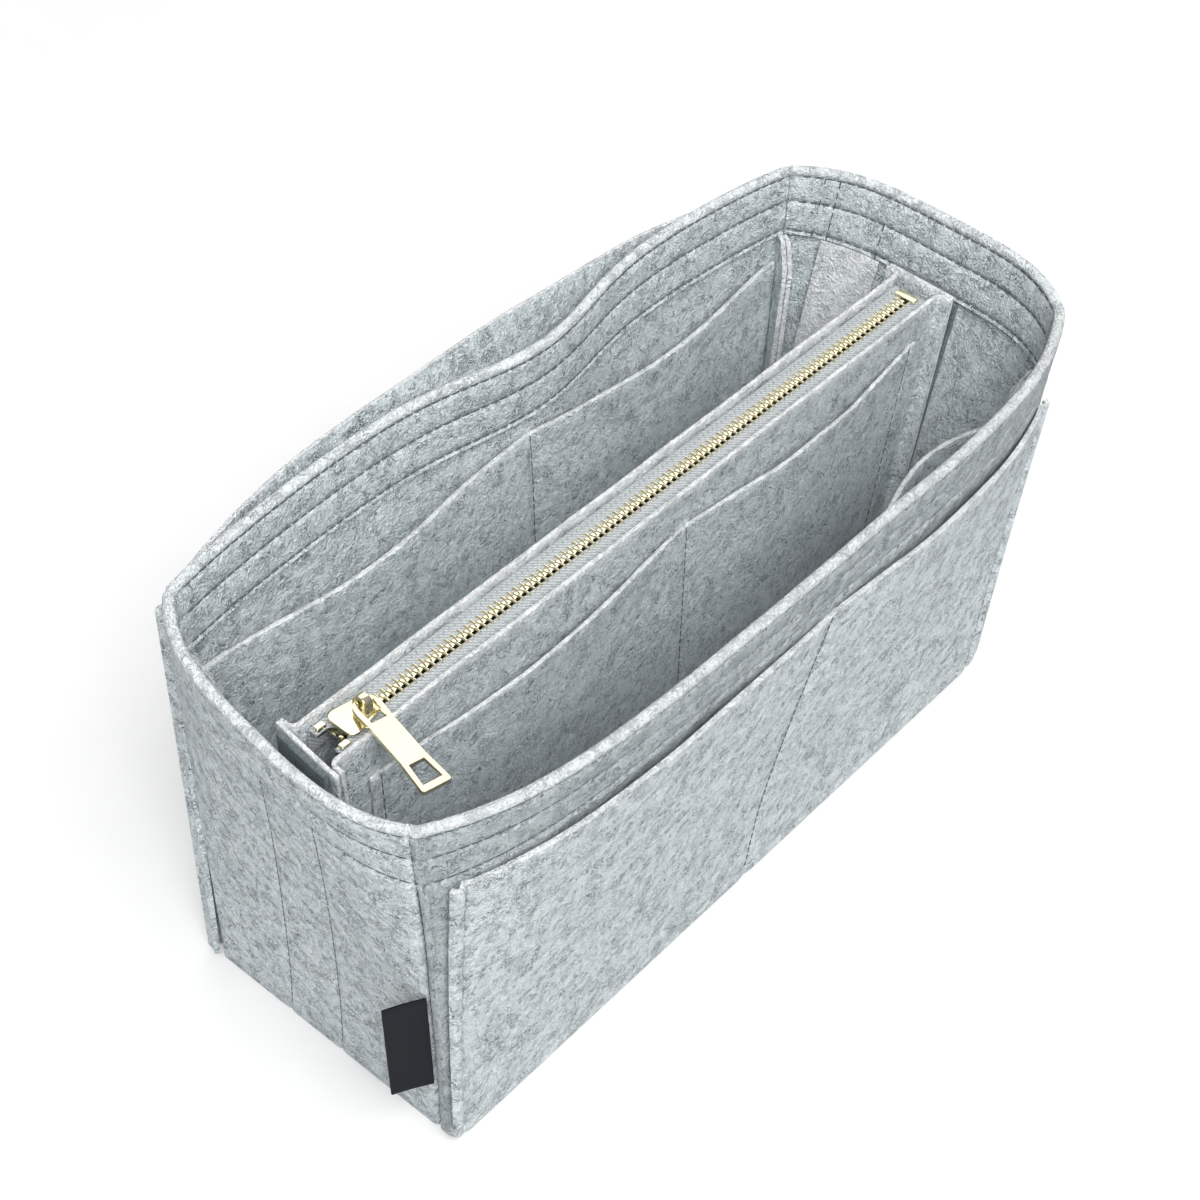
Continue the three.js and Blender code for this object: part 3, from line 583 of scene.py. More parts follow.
# Wall pockets. Flat felt pieces sewn to the long walls at their sides and foot, and down the middle
# where they make two. Their open top edge is raw, and the slack lets each half gape.
pocket_seam_x = 6
seam_slant = 0.09
inner_top = rim_height - 35
inner_foot = felt_thick + 4
inner_gape = {"front": (12, 17), "back": (10, 10)}
inner_skew = {"front": 1.5, "back": 1}
inner_crest = {"front": 0, "back": 4.5}
inner_pinch = 0.7
crest_width = 45
outer_seam_x = 11.5
outer_seam_slant = -0.076
outer_foot = 1
front_top = rim_height - 32
front_outer_tilt = 5.5
front_outer_gape = 1.6
front_outer_left = (-0.8, 5.8)
front_outer_right = (1, 4)
back_top = rim_height - 10
back_outer_gape = 13
back_outer_left = 1.2
back_outer_right = 4
gape_power = 1.3
notch_depth = 0.9
notch_power = 30
ripple = 0.9
ripple_reach = 40
welt_width = 3
welt_line = welt_width + 0.6
front_welt = (1.2, 0.7)
back_welt = (1.1, 0.6)
foot_levels = [outer_foot, 2.2, 3.4, 4.6, 5.8, 7.5]
corner_lift = 3.5
corner_reach = 7
corner_rise = 14
thread_lift = 0.05
outer_thread_lift = 0.17


def gape(t, seam, rise, most, skew=1):
    within = t / seam if t < seam else (max(0, t - seam) / (1 - seam)) ** skew
    return most * max(math.sin(math.pi * min(1, max(0, within))), 0) ** gape_power * max(rise, 0) ** 2


def seam_share(wall, low, high, x):
    first, last = end_corners(wall, 0)
    return ((x - first.x) / (last.x - first.x) - low) / (high - low)


def shifted(t, seam, moved):
    return moved * t / seam if t < seam else 1 - (1 - moved) * (1 - t) / (1 - seam)


def crowded(marks, count, spacing, edge_steps=()):
    near = [m + d for m in marks for d in (-2 * spacing, -spacing, 0, spacing, 2 * spacing)]
    near += [v for step in edge_steps for v in (step, 1 - step)]
    found = [0]
    for v in sorted(near + levels(0, 1, count)):
        if spacing / 2 < v - found[-1] and v < 1 - spacing / 2:
            found.append(v)
    return found + [1]


def seam_reach(wall, at_start, z):
    corner, own, inward, side = corner_frame(wall, at_start, z)
    sine, cosine = own.dot(side), own.dot(inward)
    far = seam_gap / 2 + felt_thick
    across = (2 * felt_thick + seam_gap + far * cosine) / sine
    return (across * cosine + far * sine + seam_gap) / wall_length(wall, z)


def edge_ripple(x, z, top):
    lift = max(0, 1 - (top - z) / ripple_reach)
    return ripple * lift * noise.noise(Vector((0.035 * x, 0.4, top)))


def seam_row(point, t, low, high, count, lift):
    made = []
    for z in levels(low, high, count):
        here = point(t, z, lift)
        along = (point(t, z + 1, lift) - here).normalized()
        made.append((here, along, (here - point(t, z, lift - 1)).normalized()))
    return made


def inner_edges(wall, z):
    return seam_reach(wall, True, z), 1 - seam_reach(wall, False, z)


def inner_pocket(wall):
    seam = seam_share(wall, *inner_edges(wall, inner_top), pocket_seam_x)

    def place(t, z, lift=0.0):
        low, high = inner_edges(wall, z)
        moved = seam_share(wall, low, high, pocket_seam_x + seam_slant * (inner_top - z))
        s = mix(low, high, shifted(t, seam, moved))
        most = inner_gape[wall][0 if t < seam else 1]
        rise = (z - inner_foot) / (inner_top - inner_foot)
        away = gape(t, seam, rise, most, inner_skew[wall])
        from_seam = (t - seam) * base_length
        sewn = press(from_seam, 1.6)
        depth = 1.5 * felt_thick + seam_gap + away - inner_pinch * sewn + lift
        point = in_wall(wall, s, depth, z)
        crest = inner_crest[wall] * press(from_seam, crest_width) * max(rise, 0) ** 3
        notch = notch_depth * sewn * max(0, rise) ** notch_power
        return point + Vector((0, 0, edge_ripple(point.x, z, inner_top) + crest - notch))

    piece = lay_sheet(
        f"{wall}_inner_pocket_felt", crowded([seam], 90, 0.004), levels(inner_foot, inner_top, 30),
        place, felt_thick, [felt, cut_felt],
    )
    dress(piece, "tub", "felt", f"{wall}_inner_pocket")
    low, high = inner_foot + 4, inner_top - 2
    count = int((high - low) / stitch_pitch)
    stitches = seam_row(place, seam, low, high, count, felt_thick / 2 + thread_lift)
    sew(f"{wall}_inner_pocket_thread", stitches, "tub", thread)


def front_outer_edges(z):
    left = mix(*front_outer_left, z / front_top)
    right = mix(*front_outer_right, z / front_top)
    return left / base_length, 1 - right / base_length


front_seam = seam_share("front", *front_outer_edges(front_top / 2), pocket_seam_x)


def welt_at(from_edge, welt, share):
    height, groove = welt
    roll = max(0, 1 - (2 * from_edge / welt_width - 1) ** 2)
    return height * math.sqrt(roll) * share - groove * press(from_edge - welt_line, 0.8)


def foot_pinch(z):
    return 0.5 * press(z - outer_foot - 3.5, 1.2)


def front_outer_point(t, z, lift=0.0):
    low, high = front_outer_edges(z)
    moved = seam_share("front", low, high, outer_seam_x + outer_seam_slant * (front_top - z))
    rise = max(0, (z - outer_foot) / (front_top - outer_foot))
    away = gape(t, front_seam, rise, front_outer_gape)
    from_edge = min(t, 1 - t) * (high - low) * base_length
    welt = welt_at(from_edge, front_welt, min(1, 0.25 + rise * 12))
    sewn = press((t - front_seam) * base_length, 1.4)
    pinch = 0.6 * sewn + foot_pinch(z)
    rounded = corner_lift * max(0, 1 - from_edge / corner_reach) ** 2 * max(0, 1 - z / corner_rise)
    raised = z + front_outer_tilt * (1 - t) * rise - notch_depth * sewn * rise ** notch_power + rounded
    depth = -(seam_gap + felt_thick / 2 + away + welt - pinch + lift)
    return in_wall("front", mix(low, high, shifted(t, front_seam, moved)), depth, raised)


def back_outer_point(t, z, lift=0.0):
    low, high = back_outer_right / base_length, 1 + back_outer_left / base_length
    rise = max(0, (z - outer_foot) / (back_top - outer_foot))
    away = back_outer_gape * swell(t, 3) * rise ** 2
    welt = welt_at(min(t, 1 - t) * base_length, back_welt, 1)
    depth = seam_gap + felt_thick / 2 + away + welt - foot_pinch(z) + lift
    return in_wall("back", mix(low, high, t), -depth, z, False)


for wall in ("front", "back"):
    inner_pocket(wall)
welt_share = welt_line / base_length
outer_pockets = (
    ("front", front_outer_point, front_top, [front_seam, welt_share, 1 - welt_share]),
    ("back", back_outer_point, back_top, [welt_share, 1 - welt_share]),
)
for side, point, top, marks in outer_pockets:
    across = crowded(marks, 110, 0.0022, [0.002 * i for i in range(1, 8)])
    piece = lay_sheet(
        f"{side}_outer_pocket_felt", across, foot_levels + levels(10, top, 32),
        lambda t, z: point(t, z) + Vector((0, 0, edge_ripple(280 * t, z, top))),
        felt_thick, [felt, cut_felt],
    )
    dress(piece, "tub", "felt", f"{side}_outer_pocket")
for side, point, top, marks in outer_pockets:
    stitches = []
    for t in marks:
        count = int((top - 8) / stitch_pitch)
        stitches += seam_row(point, t, 6, top - 2, count, felt_thick / 2 + outer_thread_lift)
    sew(f"{side}_pocket_thread", stitches, "tub", thread)


# End strips. Dark grey hook-and-loop tape: a soft loop strip sewn to the inside of each end wall, and
# a felt strap on the right one, painted pale as light falling on it, tucked under the hem. The stitching
# shows outside.
strip_width = 20
loop_thick = 2.6
loop_face = felt_thick + seam_gap
strip_foot = 24
strip_top = hem_foot - seam_gap
strap_width = 21
strap_y = 32.5
strap_foot = 30
strap_hang = 2.4
strap_edges = [strap_y - strap_width / 2 + 1.5, strap_y + strap_width / 2 - 1.5]
# Painted light: the strap's felt is paler than the wall to stand in for the light that reaches it where it
# hangs off the wall.
lit_strap_dark = (0.85, 0.885, 0.9, 1)
lit_strap_light = (0.965, 0.98, 0.985, 1)
hem_columns = [strap_y + strap_width / 2 - 2, strap_y + strap_width / 2 + 2.5]
hem_inside = hem_thick + 0.4
line_thread_depth = 0.45
strap_thread_depth = 0.1
pouch_y = 0.5


def end_x(wall, y, z, depth):
    return wall_at(wall, share_at(wall, y, z), z).x - wall_outward[wall][0] * depth


def end_sheet(name, wall, centre, width, low, high, near, thick, finishes, lean=lambda z: 0):
    return lay_sheet(
        name, levels(centre - width / 2, centre + width / 2, 10), levels(low, high, 30),
        lambda y, z: Vector((end_x(wall, y, z, near + thick / 2 + lean(z)), y, z)), thick, finishes,
    )


def pile_tape(name, colour, size):
    finish, tree, shader, where = new_finish(name)
    pile = spread(tree, grain(tree, where, size, 3, 1.0), 0.3, 0.7, 0, 1)
    tree.links.new(tint(tree, pile, colour, paler(colour, 5)), shader.inputs["Base Color"])
    emboss(tree, shader, pile, 0.9, 0.6)
    settle(shader, {"Roughness": 0.85, "Sheen Weight": 0.3})
    return finish


def strap_lean(z):
    return strap_hang * (strip_top - z) / (strip_top - strap_foot)


loop_pile = pile_tape("loop_pile", (0.035, 0.048, 0.055, 1), 0.9)
# Strap felt in the paler painted-light colours.
strap_felt = heather_felt("painted_lit_strap_felt", lit_strap_dark, lit_strap_light, felt_fibre, 0.3)
for wall in ("left", "right"):
    loop = end_sheet(
        f"{wall}_loop_tape", wall, pouch_y, strip_width, strip_foot, strip_top, loop_face, loop_thick,
        [loop_pile, loop_pile],
    )
    dress(loop, "tub", "hook_and_loop", f"{wall}_loop_strip")
strap = end_sheet(
    "inner_strap_felt", "right", strap_y, strap_width, strap_foot, strip_top, loop_face, felt_thick,
    [strap_felt, cut_felt], strap_lean,
)
dress(strap, "tub", "felt", "inner_strap")


def end_wall_point(wall, line, z, depth):
    y = line_y(wall, line, z)
    return Vector((end_x(wall, y, z, depth), y, z))


def end_wall_stitches(wall, columns, low, high, depth, inward=False):
    made = []
    outward = Vector((*wall_outward[wall], 0)) * (-1 if inward else 1)
    for line in columns:
        for z in levels(low, high, int((high - low) / stitch_pitch)):
            here = end_wall_point(wall, line, z, depth)
            above = end_wall_point(wall, line, z + 1, depth)
            made.append((here, (above - here).normalized(), outward))
    return made


left_lines = end_wall_stitches("left", strip_lines["left"], 5, hem_foot, line_thread_depth)
right_lines = end_wall_stitches("right", strip_lines["right"], 5, hem_foot, line_thread_depth)
right_lines += end_wall_stitches("right", strap_edges, strap_foot, strip_top, strap_thread_depth)
right_lines += end_wall_stitches("right", strap_edges[:1], hem_foot + 2, hem_foot + 12, hem_inside, True)
right_lines += end_wall_stitches("right", hem_columns, hem_foot + 2, rim_height - 4, hem_inside, True)
sew("left_strip_thread", left_lines, "tub", thread)
sew("right_strip_thread", right_lines, "tub", thread)


# Label. A plain black woven tab, folded double and caught in the front left corner seam, with
# nothing woven into it.
label_width = 13
label_height = 48
label_thick = 0.9
label_foot = 27
label_root = 0.3
label_turn = math.radians(147)
label_curl = 0.9
label_wave = 0.3
label_dark = (0.004, 0.005, 0.0075, 1)
label_light = (0.014, 0.017, 0.023, 1)


def woven_black(name):
    finish, tree, shader, where = new_finish(name)
    wanted = {"Vector": where, "Scale": 900.0, "Distortion": 0.4, "Detail": 1.0}
    weft = add_node(tree, "ShaderNodeTexWave", wanted, bands_direction="Z").outputs[1]
    tree.links.new(tint(tree, weft, label_dark, label_light), shader.inputs["Base Color"])
    emboss(tree, shader, weft, 0.4, 0.1)
    settle(shader, {"Roughness": 0.7, "Specular IOR Level": 0.12})
    return finish


def label_point(out, z):
    root = seam_frame("front", True, z)[0]
    share = out / label_width
    curl = label_curl * share ** 2 + label_wave * math.sin(z / 9) * share
    away = Vector((math.cos(label_turn), math.sin(label_turn), 0))
    return Vector((root.x, root.y, z)) + away * out + inward_of(away) * curl


black_weave = woven_black("black_label_weave")
label = lay_sheet(
    "label_weave", levels(label_root, label_width, 14), levels(label_foot, label_foot + label_height, 30),
    label_point, label_thick, [black_weave, black_weave], 0.3,
)
dress(label, "tub", "label", "label_tag")


# Pouch. Thinner felt of the same heather: two long panels whose ends turn out against two end
# panels, a bottom strip, and a slip pocket sewn down the middle of the front. The cut edges stay raw.
pouch_felt_thick = 1.4
pouch_half = 8.5
pouch_top = rim_height - 16
pouch_floor = 20
pouch_height = pouch_top - pouch_floor
pouch_flange = 4
panel_turn = 2.2
panel_steps = 80
panel_sway = 0.5
pouch_lean = {"left": 6.5, "right": 6}
pouch_dark = (0.61, 0.69, 0.725, 1)
pouch_light = (0.88, 0.935, 0.955, 1)
hook_thick = 1.8
hook_face = max(loop_face + loop_thick, hem_thick) + seam_gap
hook_top = pouch_top - pouch_felt_thick / 2
end_face = hook_face + hook_thick + seam_gap
end_width = 2 * (pouch_half + pouch_flange)
panel_end = end_face + pouch_felt_thick + seam_gap
slip_top = pouch_top - 20
slip_foot = pouch_floor + pouch_felt_thick
slip_inset = panel_end + pouch_felt_thick + 10
slip_gape = 5
slip_seam = 0.508
slip_line = 3.5
slip_edge = slip_line / 250
slip_rise = 4.5
slip_tilt = 4
slip_stitch_steps = 27
# The pouch felt is whitened strongly near its top edges as a painted highlight.
pouch_felt = heather_felt("pouch_felt", pouch_dark, pouch_light, felt_fibre, 0.85, pouch_top, 0.8)
hook_pile = pile_tape("hook_pile", (0.03, 0.042, 0.047, 1), 0.8)


def lean(wall, z):
    return pouch_lean[wall] * ((z - pouch_floor) / pouch_height) ** 2


def panel_line(sign, z):
    run = pouch_y + sign * (pouch_half - pouch_felt_thick / 2)
    tip = pouch_flange + pouch_felt_thick / 2
    turn = panel_turn
    inset = panel_end + pouch_felt_thick / 2
    left = end_x("left", run, z, inset + lean("left", z))
    right = end_x("right", run, z, inset + lean("right", z))
    first = [(left, tip), (left, (tip + turn) / 2)]
    last = [(right, (tip + turn) / 2), (right, tip)]
    for angle in levels(math.pi, 1.5 * math.pi, 5):
        first.append((left + turn + turn * math.cos(angle), turn + turn * math.sin(angle)))
        last.insert(0, (right - turn - turn * math.cos(angle), turn + turn * math.sin(angle)))
    middle = []
    straight = levels(left + turn, right - turn, panel_steps)
    for x, whole_x in list(zip(straight, levels(left, right, panel_steps)))[1:-1]:
        middle.append((x, panel_sway * noise.noise(Vector((0.03 * whole_x, 2 * sign, 0.02 * z)))))
    return [Vector((x, run + sign * d, z)) for x, d in first + middle + last]


pouch_levels = levels(pouch_floor, pouch_top - 8, 22) + levels(pouch_top - 6, pouch_top, 4)
for side, sign in (("front", -1), ("back", 1)):
    table = [panel_line(sign, z) for z in pouch_levels]
    panel = lay_rows(f"pouch_{side}_felt", table, pouch_felt_thick, [pouch_felt, cut_felt])
    dress(panel, "pouch", "pouch_felt", f"pouch_{side}_panel")
for wall in ("left", "right"):
    end_panel = end_sheet(
        f"pouch_{wall}_end_felt", wall, pouch_y, end_width, pouch_floor, pouch_top, end_face,
        pouch_felt_thick, [pouch_felt, cut_felt], lambda z: lean(wall, z),
    )
    dress(end_panel, "pouch", "pouch_felt", f"pouch_{wall}_end")
    hook = end_sheet(
        f"{wall}_hook_tape", wall, pouch_y, strip_width, strip_foot, hook_top, hook_face, hook_thick,
        [hook_pile, hook_pile], lambda z: lean(wall, z),
    )
    dress(hook, "pouch", "hook_and_loop", f"{wall}_hook_strip")
bottom_half = pouch_half - pouch_felt_thick - seam_gap
bottom_left = end_x("left", pouch_y, pouch_floor, panel_end)
bottom_right = end_x("right", pouch_y, pouch_floor, panel_end)
pouch_bottom = lay_sheet(
    "pouch_bottom_felt", levels(bottom_left, bottom_right, 60),
    levels(pouch_y - bottom_half, pouch_y + bottom_half, 6),
    lambda x, y: Vector((x, y, pouch_floor + pouch_felt_thick / 2)),
    pouch_felt_thick, [pouch_felt, cut_felt],
)
dress(pouch_bottom, "pouch", "pouch_felt", "pouch_bottom")


def slip_point(t, z, lift=0.0):
    face = pouch_y - pouch_half
    left = end_x("left", face, z, slip_inset + lean("left", z))
    right = end_x("right", face, z, slip_inset + lean("right", z))
    moved = (pocket_seam_x + 1 + seam_slant * (slip_top - z) - left) / (right - left)
    up = (z - slip_foot) / (slip_top - slip_foot)
    away = gape(t, slip_seam, up, slip_gape)
    from_edge = min(t, 1 - t) * (right - left)
    sewn = press((t - slip_seam) * (right - left), 1.5)
    dip = 0.6 * sewn + 0.5 * press(from_edge - slip_line, 1.1)
    out = seam_gap + pouch_felt_thick / 2 + away - dip + lift
    raised = z + (slip_rise + slip_tilt * t) * max(0, up) - notch_depth * sewn * max(0, up) ** notch_power
    x = mix(left, right, shifted(t, slip_seam, moved))
    return Vector((x, face - out, raised + edge_ripple(300 * t, z, slip_top)))


slip_marks = [slip_seam, slip_edge, 1 - slip_edge]
slip_pocket = lay_sheet(
    "pouch_slip_pocket_felt", crowded(slip_marks, 90, 0.004), levels(slip_foot, slip_top, 26),
    slip_point, pouch_felt_thick, [pouch_felt, cut_felt],
)
dress(slip_pocket, "pouch", "pouch_felt", "pouch_front_pocket")
slip_lift = pouch_felt_thick / 2 + thread_lift
slip_stitches = []
for t in slip_marks:
    slip_stitches += seam_row(slip_point, t, slip_foot + 3, slip_top - 2, slip_stitch_steps, slip_lift)
sew("slip_pocket_thread", slip_stitches, "pouch", thread, slot="pouch_felt")


# Zip tapes. Two light grey woven polyester tapes, each with a bead along its inner edge, turned down
# inside a panel and sewn to it with slanting stitches.
zip_sink = 3.4
zip_z = pouch_top - zip_sink
tape_thick = 0.8
tape_leg = 9
tape_edge = 2.75
tape_spread = 1.8
tape_turn = 0.6
tape_wall = pouch_half - pouch_felt_thick - seam_gap - tape_thick / 2
tape_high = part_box("zip_tape_front")[1]
stop_low, stop_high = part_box("top_stop_front")
spread_start = stop_high.x / mm
spread_end = spread_start + 3.6
tape_start = stop_low.x / mm - 0.6
tape_end = tape_high.x / mm - 3.2
bead_offset = 0.6
bead_radius = 0.68
slant_offset = 4.9
slant_lift = 0.42
slant_length = 1.8
tape_dark = (0.29, 0.315, 0.325, 1)
tape_light = (0.56, 0.585, 0.595, 1)


def woven_tape(name):
    finish, tree, shader, where = new_finish(name)
    wanted = {"Vector": where, "Scale": 420.0, "Distortion": 1.5, "Detail": 1.0, "Detail Scale": 2.0}
    warp = add_node(tree, "ShaderNodeTexWave", wanted, bands_direction="DIAGONAL").outputs[1]
    wanted = {"Vector": where, "Scale": 380.0}
    weft = add_node(tree, "ShaderNodeTexWave", wanted, bands_direction="X").outputs[1]
    weave = reckon(tree, "MULTIPLY", warp, reckon(tree, "ADD", weft, 0.4))
    cloth = tint(tree, weave, tape_dark, tape_light)
    fuzz = grain(tree, where, 0.5, 3)
    tree.links.new(shaded(tree, cloth, fuzz, 0.75, 1.15), shader.inputs["Base Color"])
    emboss(tree, shader, weave, 0.6, 0.2)
    settle(shader, {"Roughness": 0.8, "Sheen Weight": 0.2})
    return finish


def tape_inner_edge(x):
    past = min(1, max(0, (spread_end - x) / (spread_end - spread_start)))
    return tape_edge + tape_spread * past * past * (3 - 2 * past)


def take_up(name, data):
    bpy.ops.object.select_all(action="DESELECT")
    made = bpy.data.objects.new(name, data)
    bpy.context.scene.collection.objects.link(made)
    made.select_set(True)
    bpy.context.view_layer.objects.active = made
    return made


def bead_along(name, points, radius):
    path = bpy.data.curves.new(name, "CURVE")
    path.dimensions = "3D"
    path.bevel_depth = radius * mm
    path.bevel_resolution = 2
    path.use_fill_caps = True
    run = path.splines.new("POLY")
    run.points.add(len(points) - 1)
    for at, point in zip(run.points, points):
        at.co = (*(point * mm), 1)
    take_up(name, path)
    bpy.ops.object.convert(target="MESH")
    bpy.ops.object.shade_smooth_by_angle(angle=smooth_angle)
    return bpy.context.object


tape_weave = woven_tape("grey_tape_weave")
tape_thread = twisted_thread("tape_thread", (0.2, 0.22, 0.23, 1))
tape_run = levels(tape_start, spread_end, 14) + levels(spread_end, tape_end, 120)[1:]
shares = [(share, 0) for share in levels(0, 1, 5)]
shares += [(1, tape_turn * math.cos(angle) - tape_turn) for angle in levels(0, math.pi / 2, 4)[1:]]
shares += [(1, -down) for down in (2.5, 5, tape_leg)]
for side, sign in (("front", -1), ("back", 1)):

    def tape_point(x, row):
        share, drop = shares[row]
        turned = math.sin(math.pi / 6 * min(3, max(0, row - 4)))
        across = mix(tape_inner_edge(x), tape_wall - tape_turn * (1 - turned), share)
        return Vector((x, pouch_y + sign * across, zip_z + drop))

    tape = lay_sheet(
        f"zip_{side}_tape_weave", tape_run, range(len(shares)), tape_point, tape_thick,
        [tape_weave, tape_weave], 0.2,
    )
    bead_line = [Vector((x, pouch_y + sign * (tape_inner_edge(x) - bead_offset), zip_z)) for x in tape_run]
    bead = bead_along(f"zip_{side}_bead", bead_line, bead_radius)
    bead.data.materials.append(tape_weave)
    dress(tape, "pouch", "zip_tape", f"zip_tape_{side}")
    dress(bead, "pouch", "zip_tape")
    slant = Vector((0.6, sign * 0.8, 0)).normalized()
    slanting = []
    for x in tape_run[15:-2]:
        place = Vector((x, pouch_y + sign * slant_offset, zip_z + slant_lift))
        slanting.append((place, slant, Vector((0, 0, 1))))
    stitches = sew(f"zip_{side}_thread", slanting, "pouch", tape_thread, slant_length, "zip_tape")
    for soft in (tape, bead, stitches):
        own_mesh(soft)


# Zip chain. Stamped metal teeth in pale gold, clamped over the beads at a pitch of ten to the inch,
# with a clip over each tape at one end and one double clip over both at the other.
tooth_pitch = 2.54
tooth_thick = 0.92
tooth_height = 2.4
tooth_length = 2.4
tooth_offset = 1.4
neck_length = 0.5
head_length = 0.65
head_flare = 1.34
rib_inset = 0.24
rib_height = 0.22
tooth_rounding = 0.14
tooth_start = 1.32
meshed_from = 116.7
tooth_smooth_angle = math.radians(35)
metal_angle = math.radians(40)
gold_dark = (0.83, 0.76, 0.5, 1)
gold_light = (0.92, 0.86, 0.64, 1)


def pale_gold(name, rough):
    finish, tree, shader, where = new_finish(name)
    scuff = grain(tree, where, 1.6, 4, 0.5)
    tree.links.new(spread(tree, scuff, 0.3, 0.7, rough * 0.7, rough * 1.5), shader.inputs["Roughness"])
    warm = spread(tree, grain(tree, where, 30, 2), 0.3, 0.7, 0, 1)
    tree.links.new(tint(tree, warm, gold_dark, gold_light), shader.inputs["Base Color"])
    emboss(tree, shader, scuff, 0.05, 0.1)
    settle(shader, {"Metallic": 1})
    return finish


gold = pale_gold("pale_gold", 0.13)


def select_faces(piece, wanted):
    bpy.ops.object.mode_set(mode="EDIT")
    bpy.ops.mesh.select_mode(type="FACE")
    bpy.ops.mesh.select_all(action="DESELECT")
    bpy.ops.object.mode_set(mode="OBJECT")
    for face in piece.data.polygons:
        face.select = wanted(face)
    bpy.ops.object.mode_set(mode="EDIT")


def draw_out(y, z):
    bpy.ops.mesh.extrude_region_move(TRANSFORM_OT_translate={"value": (0, y * mm, z * mm)})


def one_tooth():
    bpy.ops.mesh.primitive_cube_add(size=1)
    tooth = bpy.context.object
    tooth.scale = (tooth_thick * mm, tooth_length * mm, tooth_height * mm)
    tooth.location = (0, tooth_offset * mm, 0)
    bpy.ops.object.transform_apply(location=True, rotation=False, scale=True)
    select_faces(tooth, lambda face: face.normal.y < -0.5)
    draw_out(-neck_length, 0)
    bpy.ops.transform.resize(value=(head_flare, 1, 1))
    draw_out(-head_length, 0)
    bpy.ops.object.mode_set(mode="OBJECT")
    select_faces(tooth, lambda face: face.normal.z > 0.5 and face.area > 1e-6)
    bpy.ops.mesh.inset(thickness=rib_inset * mm)
    draw_out(0, rib_height)
    bpy.ops.object.mode_set(mode="OBJECT")
    rounding = tooth.modifiers.new("stamped edge", "BEVEL")
    rounding.width = tooth_rounding * mm
    rounding.segments = 1
    rounding.limit_method = "ANGLE"
    bpy.ops.object.modifier_apply(modifier=rounding.name)
    return tooth


def row_of_teeth(name, sign, places):
    row = one_tooth()
    mirror = Matrix.Diagonal((1, sign, 1, 1))
    spots = [Matrix.Translation((x * mm, pouch_y * mm, zip_z * mm)) @ mirror for x in places]
    repeat_mesh(row, name, spots, gold)
    bpy.ops.object.shade_smooth_by_angle(angle=tooth_smooth_angle)
    return row


for side, sign in (("front", -1), ("back", 1)):
    row_low, row_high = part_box(f"zip_teeth_{side}")
    count = int((row_high.x - row_low.x) / mm / tooth_pitch) + 1
    places = [row_low.x / mm + tooth_start + i * tooth_pitch for i in range(count)]
    chain = row_of_teeth(f"zip_{side}_teeth", sign, [x for x in places if x < meshed_from])
    dress(chain, "pouch", "pale_gold_metal", f"zip_teeth_{side}")
    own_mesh(chain)
    meshed = row_of_teeth(f"zip_{side}_end_teeth", sign, [x for x in places if x >= meshed_from])
    dress(meshed, "pouch", "pale_gold_metal")


def rounded_copy(node, name, width, body):
    piece = take_up(name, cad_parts[node].data.copy())
    bpy.ops.object.mode_set(mode="EDIT")
    bpy.ops.mesh.select_all(action="SELECT")
    bpy.ops.mesh.remove_doubles(threshold=0.002 * mm)
    bpy.ops.mesh.dissolve_limited(angle_limit=math.radians(1))
    bpy.ops.object.mode_set(mode="OBJECT")
    rounding = piece.modifiers.new("polished edge", "BEVEL")
    rounding.width = width * mm
    rounding.segments = 3
    rounding.limit_method = "ANGLE"
    rounding.angle_limit = metal_angle
    bpy.ops.object.modifier_apply(modifier=rounding.name)
    piece.data.materials.clear()
    piece.data.materials.append(gold)
    bpy.ops.object.shade_smooth_by_angle(angle=metal_angle)
    return dress(piece, body, "pale_gold_metal", node)


for side in ("front", "back"):
    rounded_copy(f"top_stop_{side}", f"top_clip_{side}", 0.3, "pouch")
rounded_copy("bottom_stop", "bottom_clip", 0.25, "pouch")


# Slider and pull tab. Die-cast and plated pale gold: two shield plates round the chain with a crown on
# top, and a flat puller with a rounded loop at one end and a square frame at the other.
rounded_copy("slider_body", "slider_casting", 0.3, "slider")
rounded_copy("pull_tab", "puller_casting", 0.32, "pull_tab")


# Studio. A plain white floor under a white sky that is brightest at the horizon, two soft lamps in
# front and at the left, a broad one behind, and a camera that looks down on the front left corner.
floor_size = 12
floor_z = -0.0004
floor_glow = 0.2
sky_low = 0.17
sky_high = 0.45
horizon_glow = 0.45
horizon_height = 0.2
camera_lens = 75.78
camera_place = (-0.4418, -0.3121, 0.6330)
camera_right = (0.6469, -0.7595, 0.0683)
camera_back = (-0.5674, -0.4196, 0.7085)


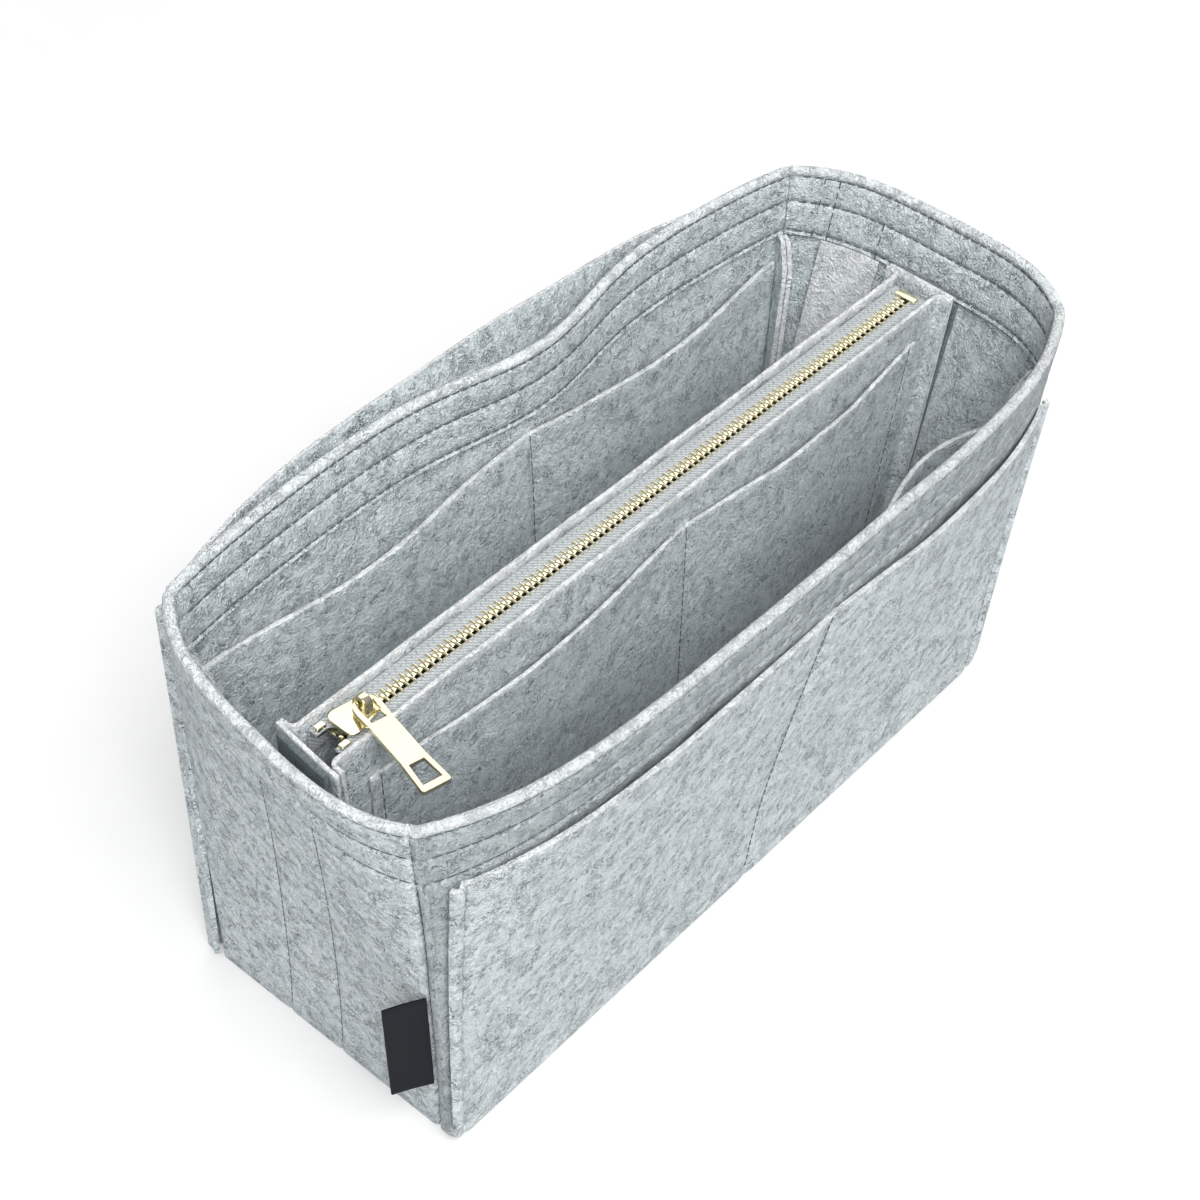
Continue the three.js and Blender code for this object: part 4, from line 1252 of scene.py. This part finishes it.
def plain_floor(name):
    finish, tree, shader, where = new_finish(name)
    tooth = spread(tree, grain(tree, where, 40, 2), 0.3, 0.7, 0.64, 0.66)
    colour = add_node(tree, "ShaderNodeCombineColor", {0: tooth, 1: tooth, 2: tooth}).outputs[0]
    tree.links.new(colour, shader.inputs["Base Color"])
    settle(shader, {"Roughness": 0.9, "Specular IOR Level": 0.1})
    paths = add_node(tree, "ShaderNodeLightPath").outputs
    mirrored = reckon(tree, "MAXIMUM", paths["Is Glossy Ray"], paths["Is Transmission Ray"])
    seen = reckon(tree, "MAXIMUM", paths["Is Camera Ray"], mirrored)
    tree.links.new(reckon(tree, "MULTIPLY", seen, floor_glow), shader.inputs["Emission Strength"])
    return finish


bpy.ops.mesh.primitive_plane_add(size=floor_size, location=(0, 0, floor_z))
floor = bpy.context.object
floor.name = "studio_floor"
floor.data.materials.append(plain_floor("white_floor"))

world = bpy.data.worlds.new("white_room")
world.use_nodes = True
bpy.context.scene.world = world
sky = world.node_tree
direction = add_node(sky, "ShaderNodeTexCoord").outputs["Generated"]
height = add_node(sky, "ShaderNodeSeparateXYZ", {0: direction}).outputs[2]
horizon = spread(sky, height, 0, horizon_height, horizon_glow, 0)
strength = reckon(sky, "ADD", spread(sky, height, 0, 1, sky_low, sky_high), horizon)
room = sky.nodes["Background"]
settle(room, {"Color": (1, 1, 1, 1)})
sky.links.new(strength, room.inputs["Strength"])


def soft_lamp(name, place, towards, size, power):
    data = bpy.data.lights.new(name, "AREA")
    data.shape = "DISK"
    data.size = size
    data.energy = power
    lamp = take_up(name, data)
    lamp.location = place
    lamp.rotation_euler = (Vector(towards) - Vector(place)).to_track_quat("-Z", "Y").to_euler()


soft_lamp("key_lamp", (-0.45, -1.1, 1.98), (0, 0, 0.08), 1.4, 34)
soft_lamp("near_lamp", (-1.3, -0.9, 1.9), (0, 0, 0.08), 1.4, 33)
soft_lamp("back_lamp", (1.5, 1.15, 1.85), (0, 0, 0.1), 2.8, 23)

camera_data = bpy.data.cameras.new("photo_camera")
camera_data.sensor_width = 36
camera_data.lens = camera_lens
camera = take_up("photo_camera", camera_data)
right = Vector(camera_right).normalized()
back = Vector(camera_back).normalized()
turn = Matrix((right, back.cross(right), back)).transposed()
camera.matrix_world = Matrix.Translation(camera_place) @ turn.to_4x4()
bpy.context.scene.camera = camera
bpy.context.scene.view_settings.view_transform = "Standard"
